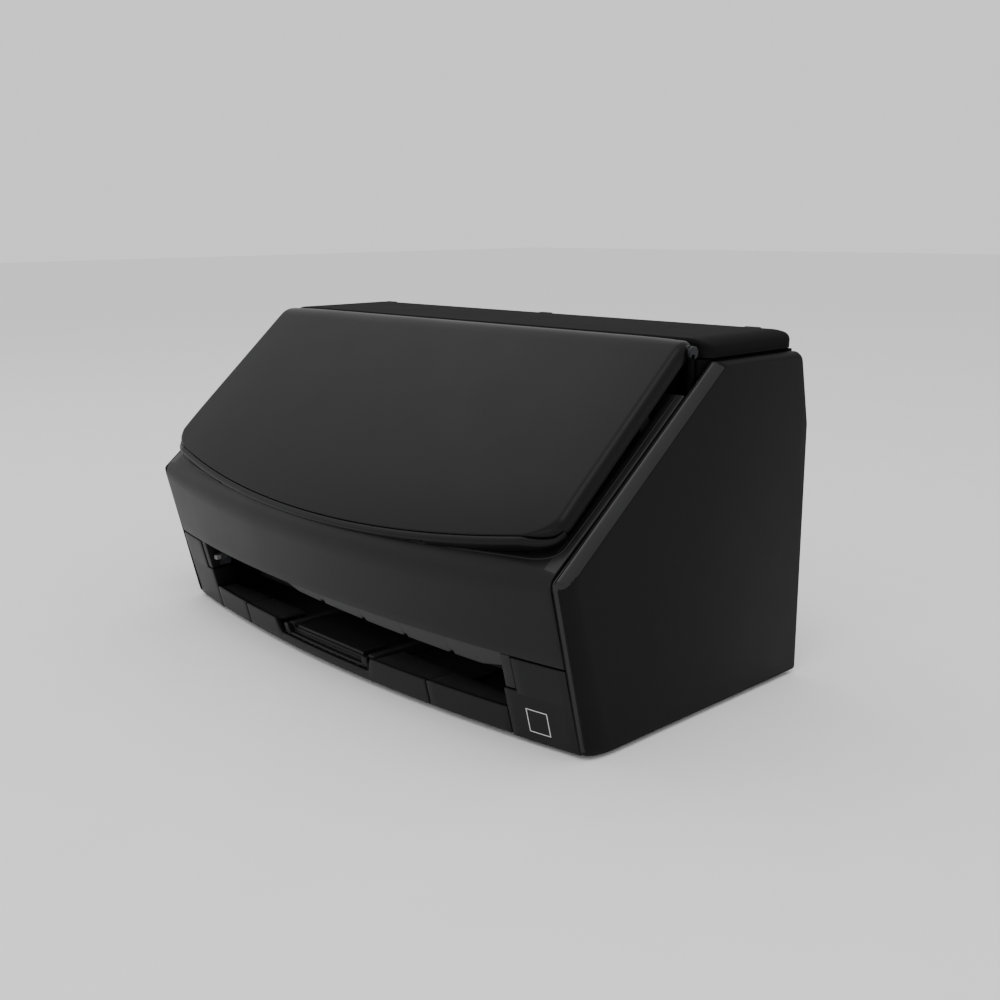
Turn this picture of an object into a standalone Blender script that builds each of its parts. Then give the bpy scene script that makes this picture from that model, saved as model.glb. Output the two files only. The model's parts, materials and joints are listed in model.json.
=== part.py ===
"""Compact desktop sheet fed document scanner, closed for storage.

Metres and +Z up in the finished model; the dimensions below are in millimetres.
+X is the scanner's right as seen from the front, the front faces -Y, and the origin is at the
bottom centre of the whole machine.

Three construction frames are used besides the world axes:
  lid frame   (x, s, w)    s down the closed lid's slope from its top edge, w inward from its face
  path frame  (x, t, off)  t down the paper path, off towards the top section (+) or the base (-)
  side frame  (y, z)       outlines that are extruded along X
"""
import math

import bmesh
import bpy
from mathutils import Vector

MM = 0.001

# ---------------------------------------------------------------- driving dimensions (mm, degrees)
HALF_WIDTH = 146.0
HALF_DEPTH = 80.5
HEIGHT = 152.0
PANEL_BOTTOM = 1.5
PANEL_INNER_X = 141.0
BODY_HALF_WIDTH = 140.4
WALL = 2.5
GAP = 0.3

SIDE_TOP_Z = 143.4
SIDE_TOP_FRONT_Y = 18.0
NOSE_Z = 72.7
NOSE_SIDE_Y = -69.0
REAR_KINK_Z = 114.0
REAR_TOP_Y = 74.5

NOSE_CENTRE_Y = -82.65
FRONT_FOOT_Y = -65.4
FRONT_BOW = 11.0
BOW_HALF_SPAN = 130.0
TOP_SECTION_BOTTOM_Z = 38.1

LID_TOP = (8.9, 154.6)
LID_SLOPE = math.radians(41.26)
LID_THICK = 7.0
LID_SKIN = 2.2
LID_HALF_WIDTH = 138.2
LID_LENGTH = 119.7
LID_LIP = 3.1
LID_CREST_Z = 151.9
HINGE = (8.6, 148.9)
LID_ROLL_R = 4.4

PATH_TOP = (-5.15, 131.6)
PATH_SLOPE = math.atan2(2.0, 1.0)
GUIDE_HALF_WIDTH = 121.4
PICK_T = 43.0
ROLLER_STEP = 28.8
FEED_T = PICK_T + ROLLER_STEP
EJECT_T = FEED_T + ROLLER_STEP
DRIVE_R = 8.0
DRIVE_OFF = -8.2
IDLER_R = 5.0
IDLER_OFF = 5.2
BRAKE_R = 4.4
BRAKE_OFF = 4.6
SHAFT_R = 3.0
THIN_SHAFT_R = 1.6
RUNNING = 0.15

GEAR_MODULE = 0.9
DRIVE_TEETH = 16
TRANSFER_TEETH = 24
MOTOR_TEETH = 10
GEAR_X = (-133.0, -128.0)
FRAME_PLATE_X = (122.0, 124.4)

RACK_MODULE = 1.0
GUIDE_PINION_TEETH = 10
GUIDE_PINION_S = 39.0
GUIDE_HALF_PAPER = 108.0

STAGE_1_X = (-74.6, 64.8)
STAGE_2_X = (-40.5, 25.5)
STAGE_3_X = (-36.0, 21.0)
SLOT_HALF_WIDTH = 107.0

SEGMENTS = 20


# ---------------------------------------------------------------- construction frames
def slope_z(y):
    """Height of the side panels' slanted edge plane at depth y."""
    rise = (SIDE_TOP_Z - NOSE_Z) / (SIDE_TOP_FRONT_Y - NOSE_SIDE_Y)
    return SIDE_TOP_Z - (SIDE_TOP_FRONT_Y - y) * rise


def front_y(x, z):
    """Depth of the bowed front face at (x, z)."""
    lean = (FRONT_FOOT_Y - NOSE_CENTRE_Y) / (NOSE_Z - PANEL_BOTTOM)
    return NOSE_CENTRE_Y + (NOSE_Z - z) * lean + FRONT_BOW * (x / BOW_HALF_SPAN) ** 2


def lid_yz(s, w):
    """Side-frame point of the lid-frame position (s, w)."""
    y = LID_TOP[0] - s * math.cos(LID_SLOPE) + w * math.sin(LID_SLOPE)
    z = LID_TOP[1] - s * math.sin(LID_SLOPE) - w * math.cos(LID_SLOPE)
    return y, z


def path_yz(t, off):
    """Side-frame point of the path-frame position (t, off)."""
    y = PATH_TOP[0] - t * math.cos(PATH_SLOPE) - off * math.sin(PATH_SLOPE)
    z = PATH_TOP[1] - t * math.sin(PATH_SLOPE) + off * math.cos(PATH_SLOPE)
    return y, z


def lid_bottom(x):
    """Distance down the slope of the lid's bowed bottom edge at x."""
    u = (x / BOW_HALF_SPAN) ** 2
    return LID_LENGTH - 15.7 * u - 0.9 * u * u


def arc(centre, radius, start, end, steps):
    """Points on a circle from angle start to angle end, in degrees."""
    points = []
    for i in range(steps + 1):
        angle = math.radians(start + (end - start) * i / steps)
        points.append((centre[0] + radius * math.cos(angle), centre[1] + radius * math.sin(angle)))
    return points


def fillet(before, corner, after, radius, steps):
    """Arc of the given radius tangent to both sides of a corner."""
    to_a = (Vector(before) - Vector(corner)).normalized()
    to_b = (Vector(after) - Vector(corner)).normalized()
    half = to_a.angle(to_b) / 2
    centre = Vector(corner) + (to_a + to_b).normalized() * (radius / math.sin(half))
    first = Vector(corner) + to_a * (radius / math.tan(half)) - centre
    last = Vector(corner) + to_b * (radius / math.tan(half)) - centre
    turn = first.angle_signed(last)
    points = []
    for i in range(steps + 1):
        a = -turn * i / steps
        cos_a, sin_a = math.cos(a), math.sin(a)
        spoke = Vector((first.x * cos_a - first.y * sin_a, first.x * sin_a + first.y * cos_a))
        points.append(tuple(centre + spoke))
    return points


# ---------------------------------------------------------------- materials
def material(name, colour, roughness, metallic=0.0):
    """A Principled material, made once for each name."""
    found = bpy.data.materials.get(name)
    if found:
        return found
    made = bpy.data.materials.new(name)
    made.use_nodes = True
    shader = made.node_tree.nodes["Principled BSDF"]
    shader.inputs["Base Color"].default_value = (*colour, 1.0)
    shader.inputs["Roughness"].default_value = roughness
    shader.inputs["Metallic"].default_value = metallic
    return made


def housing_black():
    return material("housing_black", (0.012, 0.012, 0.013), 0.45)


def lid_black():
    return material("lid_black", (0.018, 0.018, 0.019), 0.42)


def frame_grey():
    return material("frame_grey", (0.045, 0.046, 0.05), 0.55)


def gear_white():
    return material("gear_white", (0.62, 0.61, 0.57), 0.4)


def shaft_steel():
    return material("shaft_steel", (0.55, 0.56, 0.58), 0.28, 1.0)


def roller_rubber():
    return material("roller_rubber", (0.03, 0.032, 0.036), 0.8)


def foot_rubber():
    return material("foot_rubber", (0.02, 0.02, 0.02), 0.85)


def scan_glass():
    return material("scan_glass", (0.5, 0.56, 0.56), 0.05)


def board_green():
    return material("board_green", (0.02, 0.12, 0.06), 0.5)


def button_blue():
    return material("button_blue", (0.02, 0.12, 0.32), 0.35)


# ---------------------------------------------------------------- solids
def finish_object(name, bm, mat):
    """Turn a bmesh in millimetres into one closed object in metres."""
    bmesh.ops.recalc_face_normals(bm, faces=bm.faces)
    if bm.calc_volume(signed=True) < 0:
        bmesh.ops.reverse_faces(bm, faces=bm.faces)
    bmesh.ops.scale(bm, vec=(MM, MM, MM), verts=bm.verts)
    mesh = bpy.data.meshes.new(name)
    bm.to_mesh(mesh)
    bm.free()
    made = bpy.data.objects.new(name, mesh)
    bpy.context.scene.collection.objects.link(made)
    if mat:
        mesh.materials.append(mat)
    return made


def loft(rings):
    """Closed solid through rings of equal length, each a list of 3-D points."""
    bm = bmesh.new()
    loops = [[bm.verts.new(p) for p in ring] for ring in rings]
    count = len(loops[0])
    for near, far in zip(loops, loops[1:]):
        for i in range(count):
            j = (i + 1) % count
            bm.faces.new((near[i], near[j], far[j], far[i]))
    bm.faces.new(loops[0])
    bm.faces.new(list(reversed(loops[-1])))
    if len(rings) > 2:
        bmesh.ops.triangulate(bm, faces=bm.faces)
    return bm


def prism_x(outline, x0, x1):
    """Extrude a (y, z) outline from x0 to x1."""
    return loft([[(x, y, z) for y, z in outline] for x in (x0, x1)])


def prism_y(outline, y0, y1):
    """Extrude an (x, z) outline from y0 to y1."""
    return loft([[(x, y, z) for x, z in outline] for y in (y0, y1)])


def prism_z(outline, z0, z1):
    """Extrude an (x, y) outline from z0 to z1."""
    return loft([[(x, y, z) for x, y in outline] for z in (z0, z1)])


def prism_lid(outline, w0, w1):
    """Extrude an (x, s) outline of the lid frame from depth w0 to w1."""
    return loft([[(x, *lid_yz(s, w)) for x, s in outline] for w in (w0, w1)])


def prism_path(x0, x1, t0, t1, off0, off1):
    """Box in the path frame."""
    corners = [path_yz(t0, off0), path_yz(t1, off0), path_yz(t1, off1), path_yz(t0, off1)]
    return prism_x(corners, x0, x1)


def box(x0, x1, y0, y1, z0, z1):
    return prism_z([(x0, y0), (x1, y0), (x1, y1), (x0, y1)], z0, z1)


def turned_x(centre, profile, segments=SEGMENTS):
    """Solid of revolution about the X line through centre (y, z), from (x, radius) stations."""
    rings = []
    for x, radius in profile:
        ring = arc(centre, radius, 0, 360, segments)[:-1]
        rings.append([(x, y, z) for y, z in ring])
    return loft(rings)


def tube_x(centre, x0, x1, outer, inner, segments=SEGMENTS):
    """Ring about the X line through centre (y, z)."""
    bm = bmesh.new()
    loops = []
    for x, radius in ((x0, inner), (x0, outer), (x1, outer), (x1, inner)):
        ring = arc(centre, radius, 0, 360, segments)[:-1]
        loops.append([bm.verts.new((x, y, z)) for y, z in ring])
    for k in range(4):
        near, far = loops[k], loops[(k + 1) % 4]
        for i in range(segments):
            j = (i + 1) % segments
            bm.faces.new((near[i], near[j], far[j], far[i]))
    return bm


def smooth(made, angle=35.0):
    """Shade a round piece smooth, keeping its sharp edges."""
    made.data.shade_smooth()
    made.data.set_sharp_from_angle(angle=math.radians(angle))
    return made


def combine(target, operation, bm):
    """Add a Boolean of the given bmesh to the target object."""
    count = sum(1 for o in bpy.data.objects if o.name.startswith("tool_"))
    tool = finish_object(f"tool_{count:03d}", bm, None)
    tool.hide_render = True
    tool.display_type = 'WIRE'
    step = target.modifiers.new(operation.lower(), 'BOOLEAN')
    step.operation = operation
    step.solver = 'EXACT'
    step.object = tool


def cut(target, *tools):
    for bm in tools:
        combine(target, 'DIFFERENCE', bm)


def join(target, *tools):
    for bm in tools:
        combine(target, 'UNION', bm)


# ---------------------------------------------------------------- side panels and rear
def side_panel_rings(sign):
    """Outline stations of a side panel, from its inner edge to its outer face."""
    rear = [(HALF_DEPTH, PANEL_BOTTOM), (HALF_DEPTH, REAR_KINK_Z), (REAR_TOP_Y, SIDE_TOP_Z)]
    edge = rear + [(SIDE_TOP_FRONT_Y, SIDE_TOP_Z)]
    inner = edge + [(-68.4, 73.2), (-68.9, 72.0), (-53.0, PANEL_BOTTOM)]
    middle = edge + [(-66.5, 74.7), (-66.0, 71.0), (-48.5, PANEL_BOTTOM)]
    outer = [(80.0, 1.8), (80.0, 114.0), (73.8, 141.8), (18.8, 141.8),
             (-61.8, 76.2), (-60.5, 71.0), (-40.5, 1.8)]
    stations = ((PANEL_INNER_X, inner), (144.2, middle), (HALF_WIDTH, outer))
    return [[(sign * x, y, z) for y, z in ring] for x, ring in stations]


def side_panels():
    pocket = [(77.0, 5.0), (77.0, 113.0), (71.5, 139.8), (19.3, 139.8), (-60.0, 75.0), (-45.0, 5.0)]
    for name, sign in (("left_side_panel", -1), ("right_side_panel", 1)):
        panel = finish_object(name, loft(side_panel_rings(sign)), housing_black())
        cut(panel, prism_x(pocket, sign * (PANEL_INNER_X - 1), sign * (HALF_WIDTH - WALL)))


INLET_X = -112.0
USB_X = -90.0
SOCKET_Z = 18.0


def rear_cover():
    outline = [(HALF_DEPTH, 2.2), (HALF_DEPTH, REAR_KINK_Z), (REAR_TOP_Y, SIDE_TOP_Z),
               (REAR_TOP_Y - 2.6, SIDE_TOP_Z), (HALF_DEPTH - 2.6, REAR_KINK_Z - 0.3), (HALF_DEPTH - 2.6, 2.2)]
    cover = finish_object("rear_cover", prism_x(outline, -BODY_HALF_WIDTH, BODY_HALF_WIDTH), housing_black())
    for x in (INLET_X, USB_X):
        cut(cover, box(x - 6.5, x + 6.5, 70, 90, SOCKET_Z - 6.5, SOCKET_Z + 6.5))


def top_rear_cover():
    """Thin roof behind the lid, with ends that curl down to the side panels."""
    def section(drop):
        top = HEIGHT - drop
        return [(15.3, 145.0), (15.3, top - 1.2), (16.4, top), (73.0, top),
                (75.6, top - 1.0), (76.5, min(top - 3.0, 148.6)), (75.8, 145.0)]
    stations = ((-142.4, 5.6), (-141.6, 3.2), (-139.2, 1.0), (-135.0, 0.0),
                (135.0, 0.0), (139.2, 1.0), (141.6, 3.2), (142.4, 5.6))
    rings = [[(x, y, z) for y, z in section(drop)] for x, drop in stations]
    cover = finish_object("top_rear_cover", loft(rings), housing_black())
    cut(cover, box(-134.5, 134.5, 17.8, 73.2, 140.0, 149.6))


# ---------------------------------------------------------------- base
def base_tray():
    stations = [i * BODY_HALF_WIDTH / 7 for i in range(-7, 8)]
    rings = []
    for x in stations:
        ring = [(front_y(x, 2.2), 2.2), (front_y(x, 14.0), 14.0), (front_y(x, 14.0) + WALL, 14.0),
                (front_y(x, 4.6) + WALL, 4.6), (77.6, 4.6), (77.6, 2.2)]
        rings.append([(x, y, z) for y, z in ring])
    tray = finish_object("base_tray", loft(rings), housing_black())
    cut(tray,
        box(-150, -109.2, -90, -49.0, 0, 30),
        box(109.2, 150, -90, -49.0, 0, 30),
        box(STAGE_1_X[0] - 0.6, STAGE_1_X[1] + 0.6, -90, -56.0, 0, 30))


def feet():
    for side, sign in (("left", -1), ("right", 1)):
        for end, y in (("front", -36.0), ("rear", 64.0)):
            outline = arc((sign * 118.0, y), 7.0, 0, 360, 16)[:-1]
            smooth(finish_object(f"foot_{end}_{side}", prism_z(outline, 0.0, 1.9), foot_rubber()))


BLOCK_REAR_Y = -49.3
BLOCK_TOP_Z = 37.4
PIVOT = (-55.5, 29.0)


def front_blocks():
    """The blocks that close the paper exit at both ends and hold the top section's pivot."""
    for name, sign in (("left_front_block", -1), ("right_front_block", 1)):
        rings = []
        for x in (109.5, 119.0, 127.0, 134.0, BODY_HALF_WIDTH):
            ring = [(front_y(x, z), z) for z in (PANEL_BOTTOM, BLOCK_TOP_Z)]
            ring += [(BLOCK_REAR_Y, BLOCK_TOP_Z), (BLOCK_REAR_Y, PANEL_BOTTOM)]
            rings.append([(sign * x, y, z) for y, z in ring])
        block = finish_object(name, loft(rings), housing_black())
        pocket = []
        for x in (118.2, 124.0, 131.0, 138.0):
            ring = [(front_y(x, 4.0) + WALL, 4.0), (front_y(x, 34.4) + WALL, 34.4), (-40.0, 34.4), (-40.0, 4.0)]
            pocket.append([(sign * x, y, z) for y, z in ring])
        cut(block,
            box(*sorted((sign * 100.0, sign * 115.7)), -90, -40, 23.0, 50),
            loft(pocket),
            box(*sorted((sign * 126.0, sign * 135.0)), -53.5, -40, 30, 50),
            turned_x(PIVOT, ((sign * 110.0, 2.0 + RUNNING), (sign * 121.0, 2.0 + RUNNING))))


def frame_plates():
    """Upright plates at both ends of the paper path that carry the drive shafts."""
    outline = [(-48.6, 4.9), (76.5, 4.9), (76.5, 112.0), (70.5, 140.5), (19.0, 140.5), (6.0, 126.0),
               path_yz(18.0, -1.5), path_yz(99.5, -1.5), (-48.6, 36.0)]
    for name, sign in (("left_frame_plate", -1), ("right_frame_plate", 1)):
        x0, x1 = (sign * x for x in FRAME_PLATE_X)
        plate = finish_object(name, prism_x(outline, x0, x1), frame_grey())
        for t in (PICK_T, FEED_T, EJECT_T):
            cut(plate, turned_x(path_yz(t, DRIVE_OFF), ((sign * 120.0, SHAFT_R + RUNNING),
                                                        (sign * 126.0, SHAFT_R + RUNNING)), 24))
        if sign < 0:
            cut(plate, turned_x(motor_centre(), ((-120.0, 2.4), (-126.0, 2.4))))
            for centre in (idler_centre(0), idler_centre(1), transfer_centre()):
                join(plate, turned_x(centre, ((-123.0, 2.0), (-133.6, 2.0))))


def throat_ramp():
    """Fixed floor under the lid's hinge that leads paper into the path."""
    outline = [(-3.6, 129.4), (13.0, 144.6), (14.9, 144.6), (14.9, 124.0),
               (12.7, 124.0), (12.7, 141.3), (-2.1, 127.8)]
    finish_object("throat_ramp", prism_x(outline, -GUIDE_HALF_WIDTH, GUIDE_HALF_WIDTH), frame_grey())


TYRE_X = (45.0, 65.0)
PICK_TYRE_HALF = 22.0


def tyre_windows(t, radius, centre_off, spans):
    """Cutters through a guide plate where rollers reach the paper."""
    reach = math.sqrt(radius ** 2 - max(0.0, abs(centre_off) - 4.2) ** 2) + 0.8
    for x0, x1 in spans:
        yield prism_path(x0 - 1.0, x1 + 1.0, t - reach, t + reach, centre_off * 0.9, 0)


def two_spans():
    return ((-TYRE_X[1], -TYRE_X[0]), TYRE_X)


GLASS_T = (81.6, 91.0)


def lower_guide_plate():
    bm = prism_path(-GUIDE_HALF_WIDTH, GUIDE_HALF_WIDTH, 4.0, 104.0, -4.0, -1.6)
    plate = finish_object("lower_guide_plate", bm, frame_grey())
    cut(plate, *tyre_windows(PICK_T, DRIVE_R, DRIVE_OFF, ((-PICK_TYRE_HALF, PICK_TYRE_HALF),)))
    cut(plate, *tyre_windows(FEED_T, DRIVE_R, DRIVE_OFF, two_spans()))
    cut(plate, *tyre_windows(EJECT_T, DRIVE_R, DRIVE_OFF, two_spans()))
    cut(plate, prism_path(-110.3, 110.3, GLASS_T[0] - GAP, GLASS_T[1] + GAP, -6.0, 0.0))


def scan_units():
    lower = prism_path(-111.0, 111.0, 80.5, 92.1, -17.0, -4.3)
    finish_object("lower_scan_unit", lower, frame_grey())
    finish_object("lower_scan_glass", prism_path(-110.0, 110.0, *GLASS_T, -3.9, -1.8), scan_glass())
    upper = prism_path(-111.0, 111.0, 77.6, 94.8, 4.3, 15.0)
    finish_object("upper_scan_unit", upper, frame_grey())
    finish_object("upper_scan_glass", prism_path(-110.0, 110.0, *GLASS_T, 1.8, 3.9), scan_glass())


def exit_guide():
    """Shelf over the stacker bay, with the wall behind the paper exit."""
    outline = [(-36.0, 14.8), (44.0, 14.8), (44.0, 16.6), (-34.0, 16.6), (-34.0, 29.2), (-36.0, 29.2)]
    finish_object("exit_guide", prism_x(outline, -SLOT_HALF_WIDTH, SLOT_HALF_WIDTH), frame_grey())


def electronics():
    finish_object("main_board", box(-70.0, 100.0, 60.0, 61.6, 18.0, 104.0), board_green())
    inlet = finish_object("power_inlet", box(INLET_X - 6, INLET_X + 6, 64.0, 79.6, SOCKET_Z - 6, SOCKET_Z + 6),
                          frame_grey())
    outline = arc((INLET_X, SOCKET_Z), 3.4, 0, 360, 16)[:-1]
    cut(inlet, prism_y(outline, 69.0, 90.0))
    join(inlet, prism_y(arc((INLET_X, SOCKET_Z), 0.8, 0, 360, 8)[:-1], 67.0, 77.0))
    socket = finish_object("usb_socket", box(USB_X - 6, USB_X + 6, 62.0, 79.6, SOCKET_Z - 5.6, SOCKET_Z + 5.6),
                           shaft_steel())
    cut(socket, box(USB_X - 4.3, USB_X + 4.3, 69.0, 90.0, SOCKET_Z - 4.0, SOCKET_Z + 4.0))


# ---------------------------------------------------------------- top section
def nose_radius(x):
    return 16.0 - 9.0 * (x / BODY_HALF_WIDTH) ** 4


def top_section_ring(x):
    """Cross-section of the top section's skin at x, outer side then inner side."""
    slope_point = (-40.0, slope_z(-40.0))
    corner = (front_y(x, NOSE_Z), NOSE_Z)
    foot = (front_y(x, TOP_SECTION_BOTTOM_Z), TOP_SECTION_BOTTOM_Z)
    ring = [(3.5, slope_z(3.5)), slope_point]
    ring += fillet(slope_point, corner, foot, nose_radius(x), 6)
    ring += [foot, (foot[0] + 2.6, foot[1]), (front_y(x, 58.0) + 2.6, 58.0)]
    inner_y = front_y(x, 66.0) + 6.0
    inner_w = 10.6
    inner_s = (LID_TOP[0] + inner_w * math.sin(LID_SLOPE) - inner_y) / math.cos(LID_SLOPE)
    ring += [lid_yz(inner_s, inner_w), (-40.0, slope_z(-40.0) - 3.4), (5.6, 129.2)]
    return ring


def top_section_cover():
    stations = [-BODY_HALF_WIDTH, -132, -110, -84, -56, -28, 0, 28, 56, 84, 110, 132, BODY_HALF_WIDTH]
    rings = [[(x, y, z) for y, z in top_section_ring(x)] for x in stations]
    cover = finish_object("top_section_cover", loft(rings), housing_black())
    cut(cover,
        box(-121.8, 121.8, -25.0, 20.0, 95.0, 150.0),
        prism_lid(lid_outline(1.1), -6.0, LID_THICK + 1.0),
        button_prism(BUTTON_R + GAP, -8.0, 8.0),
        box(126.0, 133.5, -19.0, -3.0, 105.0, 135.0))


def top_section_frame():
    """Front half of the paper path, with ears for the idle rollers and two pivot arms."""
    frame = finish_object("top_section_frame", prism_path(-118.8, 118.8, 32.0, 104.0, 1.6, 4.0), frame_grey())
    ear = [path_yz(32.0, 1.6), (-27.0, 101.8), (-56.0, 76.0), (-61.5, 68.0), (-61.5, 47.0), path_yz(104.0, 1.6)]
    arm = [(-60.0, 24.2), (-51.0, 24.2), (-51.0, 32.0), (-55.0, 37.3), path_yz(102.5, 1.6), (-60.0, 41.0)]
    for sign in (-1, 1):
        join(frame,
             prism_x(ear, sign * 116.4, sign * 118.8),
             prism_x(arm, sign * 110.9, sign * 115.1))
    for centre in (brake_centre(), path_yz(FEED_T, IDLER_OFF), path_yz(EJECT_T, IDLER_OFF)):
        cut(frame, turned_x(centre, ((-125.0, THIN_SHAFT_R + RUNNING), (125.0, THIN_SHAFT_R + RUNNING)), 16))
    cut(frame, turned_x(PIVOT, ((-125.0, 2.0 + RUNNING), (125.0, 2.0 + RUNNING)), 16))
    cut(frame, *tyre_windows(PICK_T, BRAKE_R, BRAKE_OFF, ((-PICK_TYRE_HALF, PICK_TYRE_HALF),)))
    cut(frame, *tyre_windows(FEED_T, IDLER_R, IDLER_OFF, two_spans()))
    cut(frame, *tyre_windows(EJECT_T, IDLER_R, IDLER_OFF, two_spans()))
    cut(frame, prism_path(-110.3, 110.3, GLASS_T[0] - GAP, GLASS_T[1] + GAP, 0.0, 6.0))


def top_section_pins():
    for name, sign in (("top_section_pin_left", -1), ("top_section_pin_right", 1)):
        bm = turned_x(PIVOT, ((sign * 109.8, 2.0), (sign * 120.0, 2.0)), 16)
        smooth(finish_object(name, bm, shaft_steel()))


BUTTON_X = 98.0
BUTTON_Y = -38.0
BUTTON_R = 8.0
SLOPE_ANGLE = math.atan2(SIDE_TOP_Z - NOSE_Z, SIDE_TOP_FRONT_Y - NOSE_SIDE_Y)


def button_prism(radius, low, high):
    """Round prism standing on the slanted face, from depth low to height high."""
    normal = Vector((0.0, -math.sin(SLOPE_ANGLE), math.cos(SLOPE_ANGLE)))
    along = Vector((0.0, math.cos(SLOPE_ANGLE), math.sin(SLOPE_ANGLE)))
    across = Vector((1.0, 0.0, 0.0))
    centre = Vector((BUTTON_X, BUTTON_Y, slope_z(BUTTON_Y)))
    rings = []
    for height in (low, high):
        ring = arc((0.0, 0.0), radius, 0, 360, SEGMENTS)[:-1]
        rings.append([tuple(centre + across * a + along * b + normal * height) for a, b in ring])
    return loft(rings)


def scan_button():
    smooth(finish_object("scan_button", button_prism(BUTTON_R, -4.2, 0.6), button_blue()))


def cover_open_lever():
    """Catch lever of the top section, at the right under the lid."""
    outline = [(-12.5, 110.0), (-8.0, 110.0), (-6.6, 121.5), (-8.4, 124.4), (-12.6, 121.6)]
    finish_object("cover_open_lever", prism_x(outline, 126.8, 132.8), frame_grey())


# ---------------------------------------------------------------- lid
def lid_outline(grow=0.0, half_width=LID_HALF_WIDTH, lip=0.0, top=-6.0):
    """(x, s) outline of the lid, grown by grow, with its bottom edge moved up by lip."""
    half = half_width + grow
    right = []
    corner_x = 126.0 + grow
    corner_s = lid_bottom(126.0) - lip + grow
    side_s = corner_s - 10.5
    right += [(half, top), (half, side_s)]
    for i in (1, 2):
        angle = math.radians(30 * i)
        right.append((corner_x + (half - corner_x) * math.cos(angle), side_s + 10.5 * math.sin(angle) * 0.98))
    for x in (126.0, 108.0, 88.0, 66.0, 44.0, 22.0):
        right.append((x, lid_bottom(x) - lip + grow))
    left = [(-x, s) for x, s in reversed(right)]
    return right + [(0.0, LID_LENGTH - lip + grow)] + left


def lid_profile():
    """Side outline of the lid: slope, rounded crest and the roll round the hinge."""
    slope_deg = math.degrees(LID_SLOPE)
    crest_y = LID_TOP[0] - (LID_TOP[1] - LID_CREST_Z) / math.tan(LID_SLOPE)
    crest = fillet(lid_yz(20.0, 0.0), (crest_y, LID_CREST_Z), (crest_y + 20.0, LID_CREST_Z), 8.0, 4)
    start = math.degrees(math.asin((LID_CREST_Z - HINGE[1]) / LID_ROLL_R))
    roll = arc(HINGE, LID_ROLL_R, start, slope_deg - 90.0, 6)
    return [lid_yz(125.0, 0.0)] + crest + roll + [lid_yz(8.0, LID_THICK), lid_yz(125.0, LID_THICK)]


def lid_outer_shell():
    shell = finish_object("lid_outer_shell", prism_lid(lid_outline(lip=LID_LIP), -4.0, 12.0), lid_black())
    combine(shell, 'INTERSECT', prism_x(lid_profile(), -150.0, 150.0))
    inner = lid_outline(grow=-LID_SKIN, lip=LID_LIP - 6.0, top=9.3)
    cut(shell, prism_lid(inner, LID_SKIN, 20.0))
    for sign in (-1, 1):
        bore = 1.6 + RUNNING
        cut(shell, turned_x(HINGE, ((sign * 129.0, bore), (sign * 139.4, bore)), 16))


def lid_inner_shell():
    shell = finish_object("lid_inner_shell",
                          prism_lid(lid_outline(half_width=135.7, top=9.6), 0.9, LID_THICK), frame_grey())
    above = lid_outline(grow=20.0, lip=20.0 + LID_LIP - GAP, top=-20.0)
    slot_low = GUIDE_PINION_S - RACK_GAP - 2.4
    slot_high = GUIDE_PINION_S + RACK_GAP + 2.4
    cut(shell,
        prism_lid(above, -5.0, 5.4),
        prism_lid(rect(-77.0, 77.0, 80.0, 130.0), 2.9, 5.4),
        prism_lid(rect(-113.5, -22.0, slot_low - 1.4, slot_low + 1.4), 0.0, 10.0),
        prism_lid(rect(22.0, 113.5, slot_high - 1.4, slot_high + 1.4), 0.0, 10.0))
    stub = arc((0.0, GUIDE_PINION_S), 1.8, 0, 360, 12)[:-1]
    join(shell, prism_lid(stub, 2.8, 6.0))


def chute_extension():
    bm = prism_lid(rect(-75.0, 75.0, 54.0, 111.5), 3.1, 5.1)
    finish_object("chute_extension", bm, frame_grey())


def rect(x0, x1, s0, s1):
    return [(x0, s0), (x1, s0), (x1, s1), (x0, s1)]


RACK_GAP = GUIDE_PINION_TEETH * RACK_MODULE / 2
RACK_W = (3.1, 5.1)


def rack_outline(x0, x1, pitch_s, back, phase):
    """Toothed bar in the lid frame; back is +1 when the bar's plain edge is at larger s."""
    pitch = math.pi * RACK_MODULE
    root = pitch_s + back * 1.15 * RACK_MODULE
    tip = pitch_s - back * 0.8 * RACK_MODULE
    plain = root + back * 2.2
    outline = [(x0, plain), (x0, root)]
    first = math.ceil((x0 + pitch - phase) / pitch)
    last = math.floor((x1 - pitch - phase) / pitch)
    for k in range(first, last + 1):
        centre = phase + k * pitch
        outline += [(centre - 0.98, root), (centre - 0.42, tip), (centre + 0.42, tip), (centre + 0.98, root)]
    outline += [(x1, root), (x1, plain)]
    return outline


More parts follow.
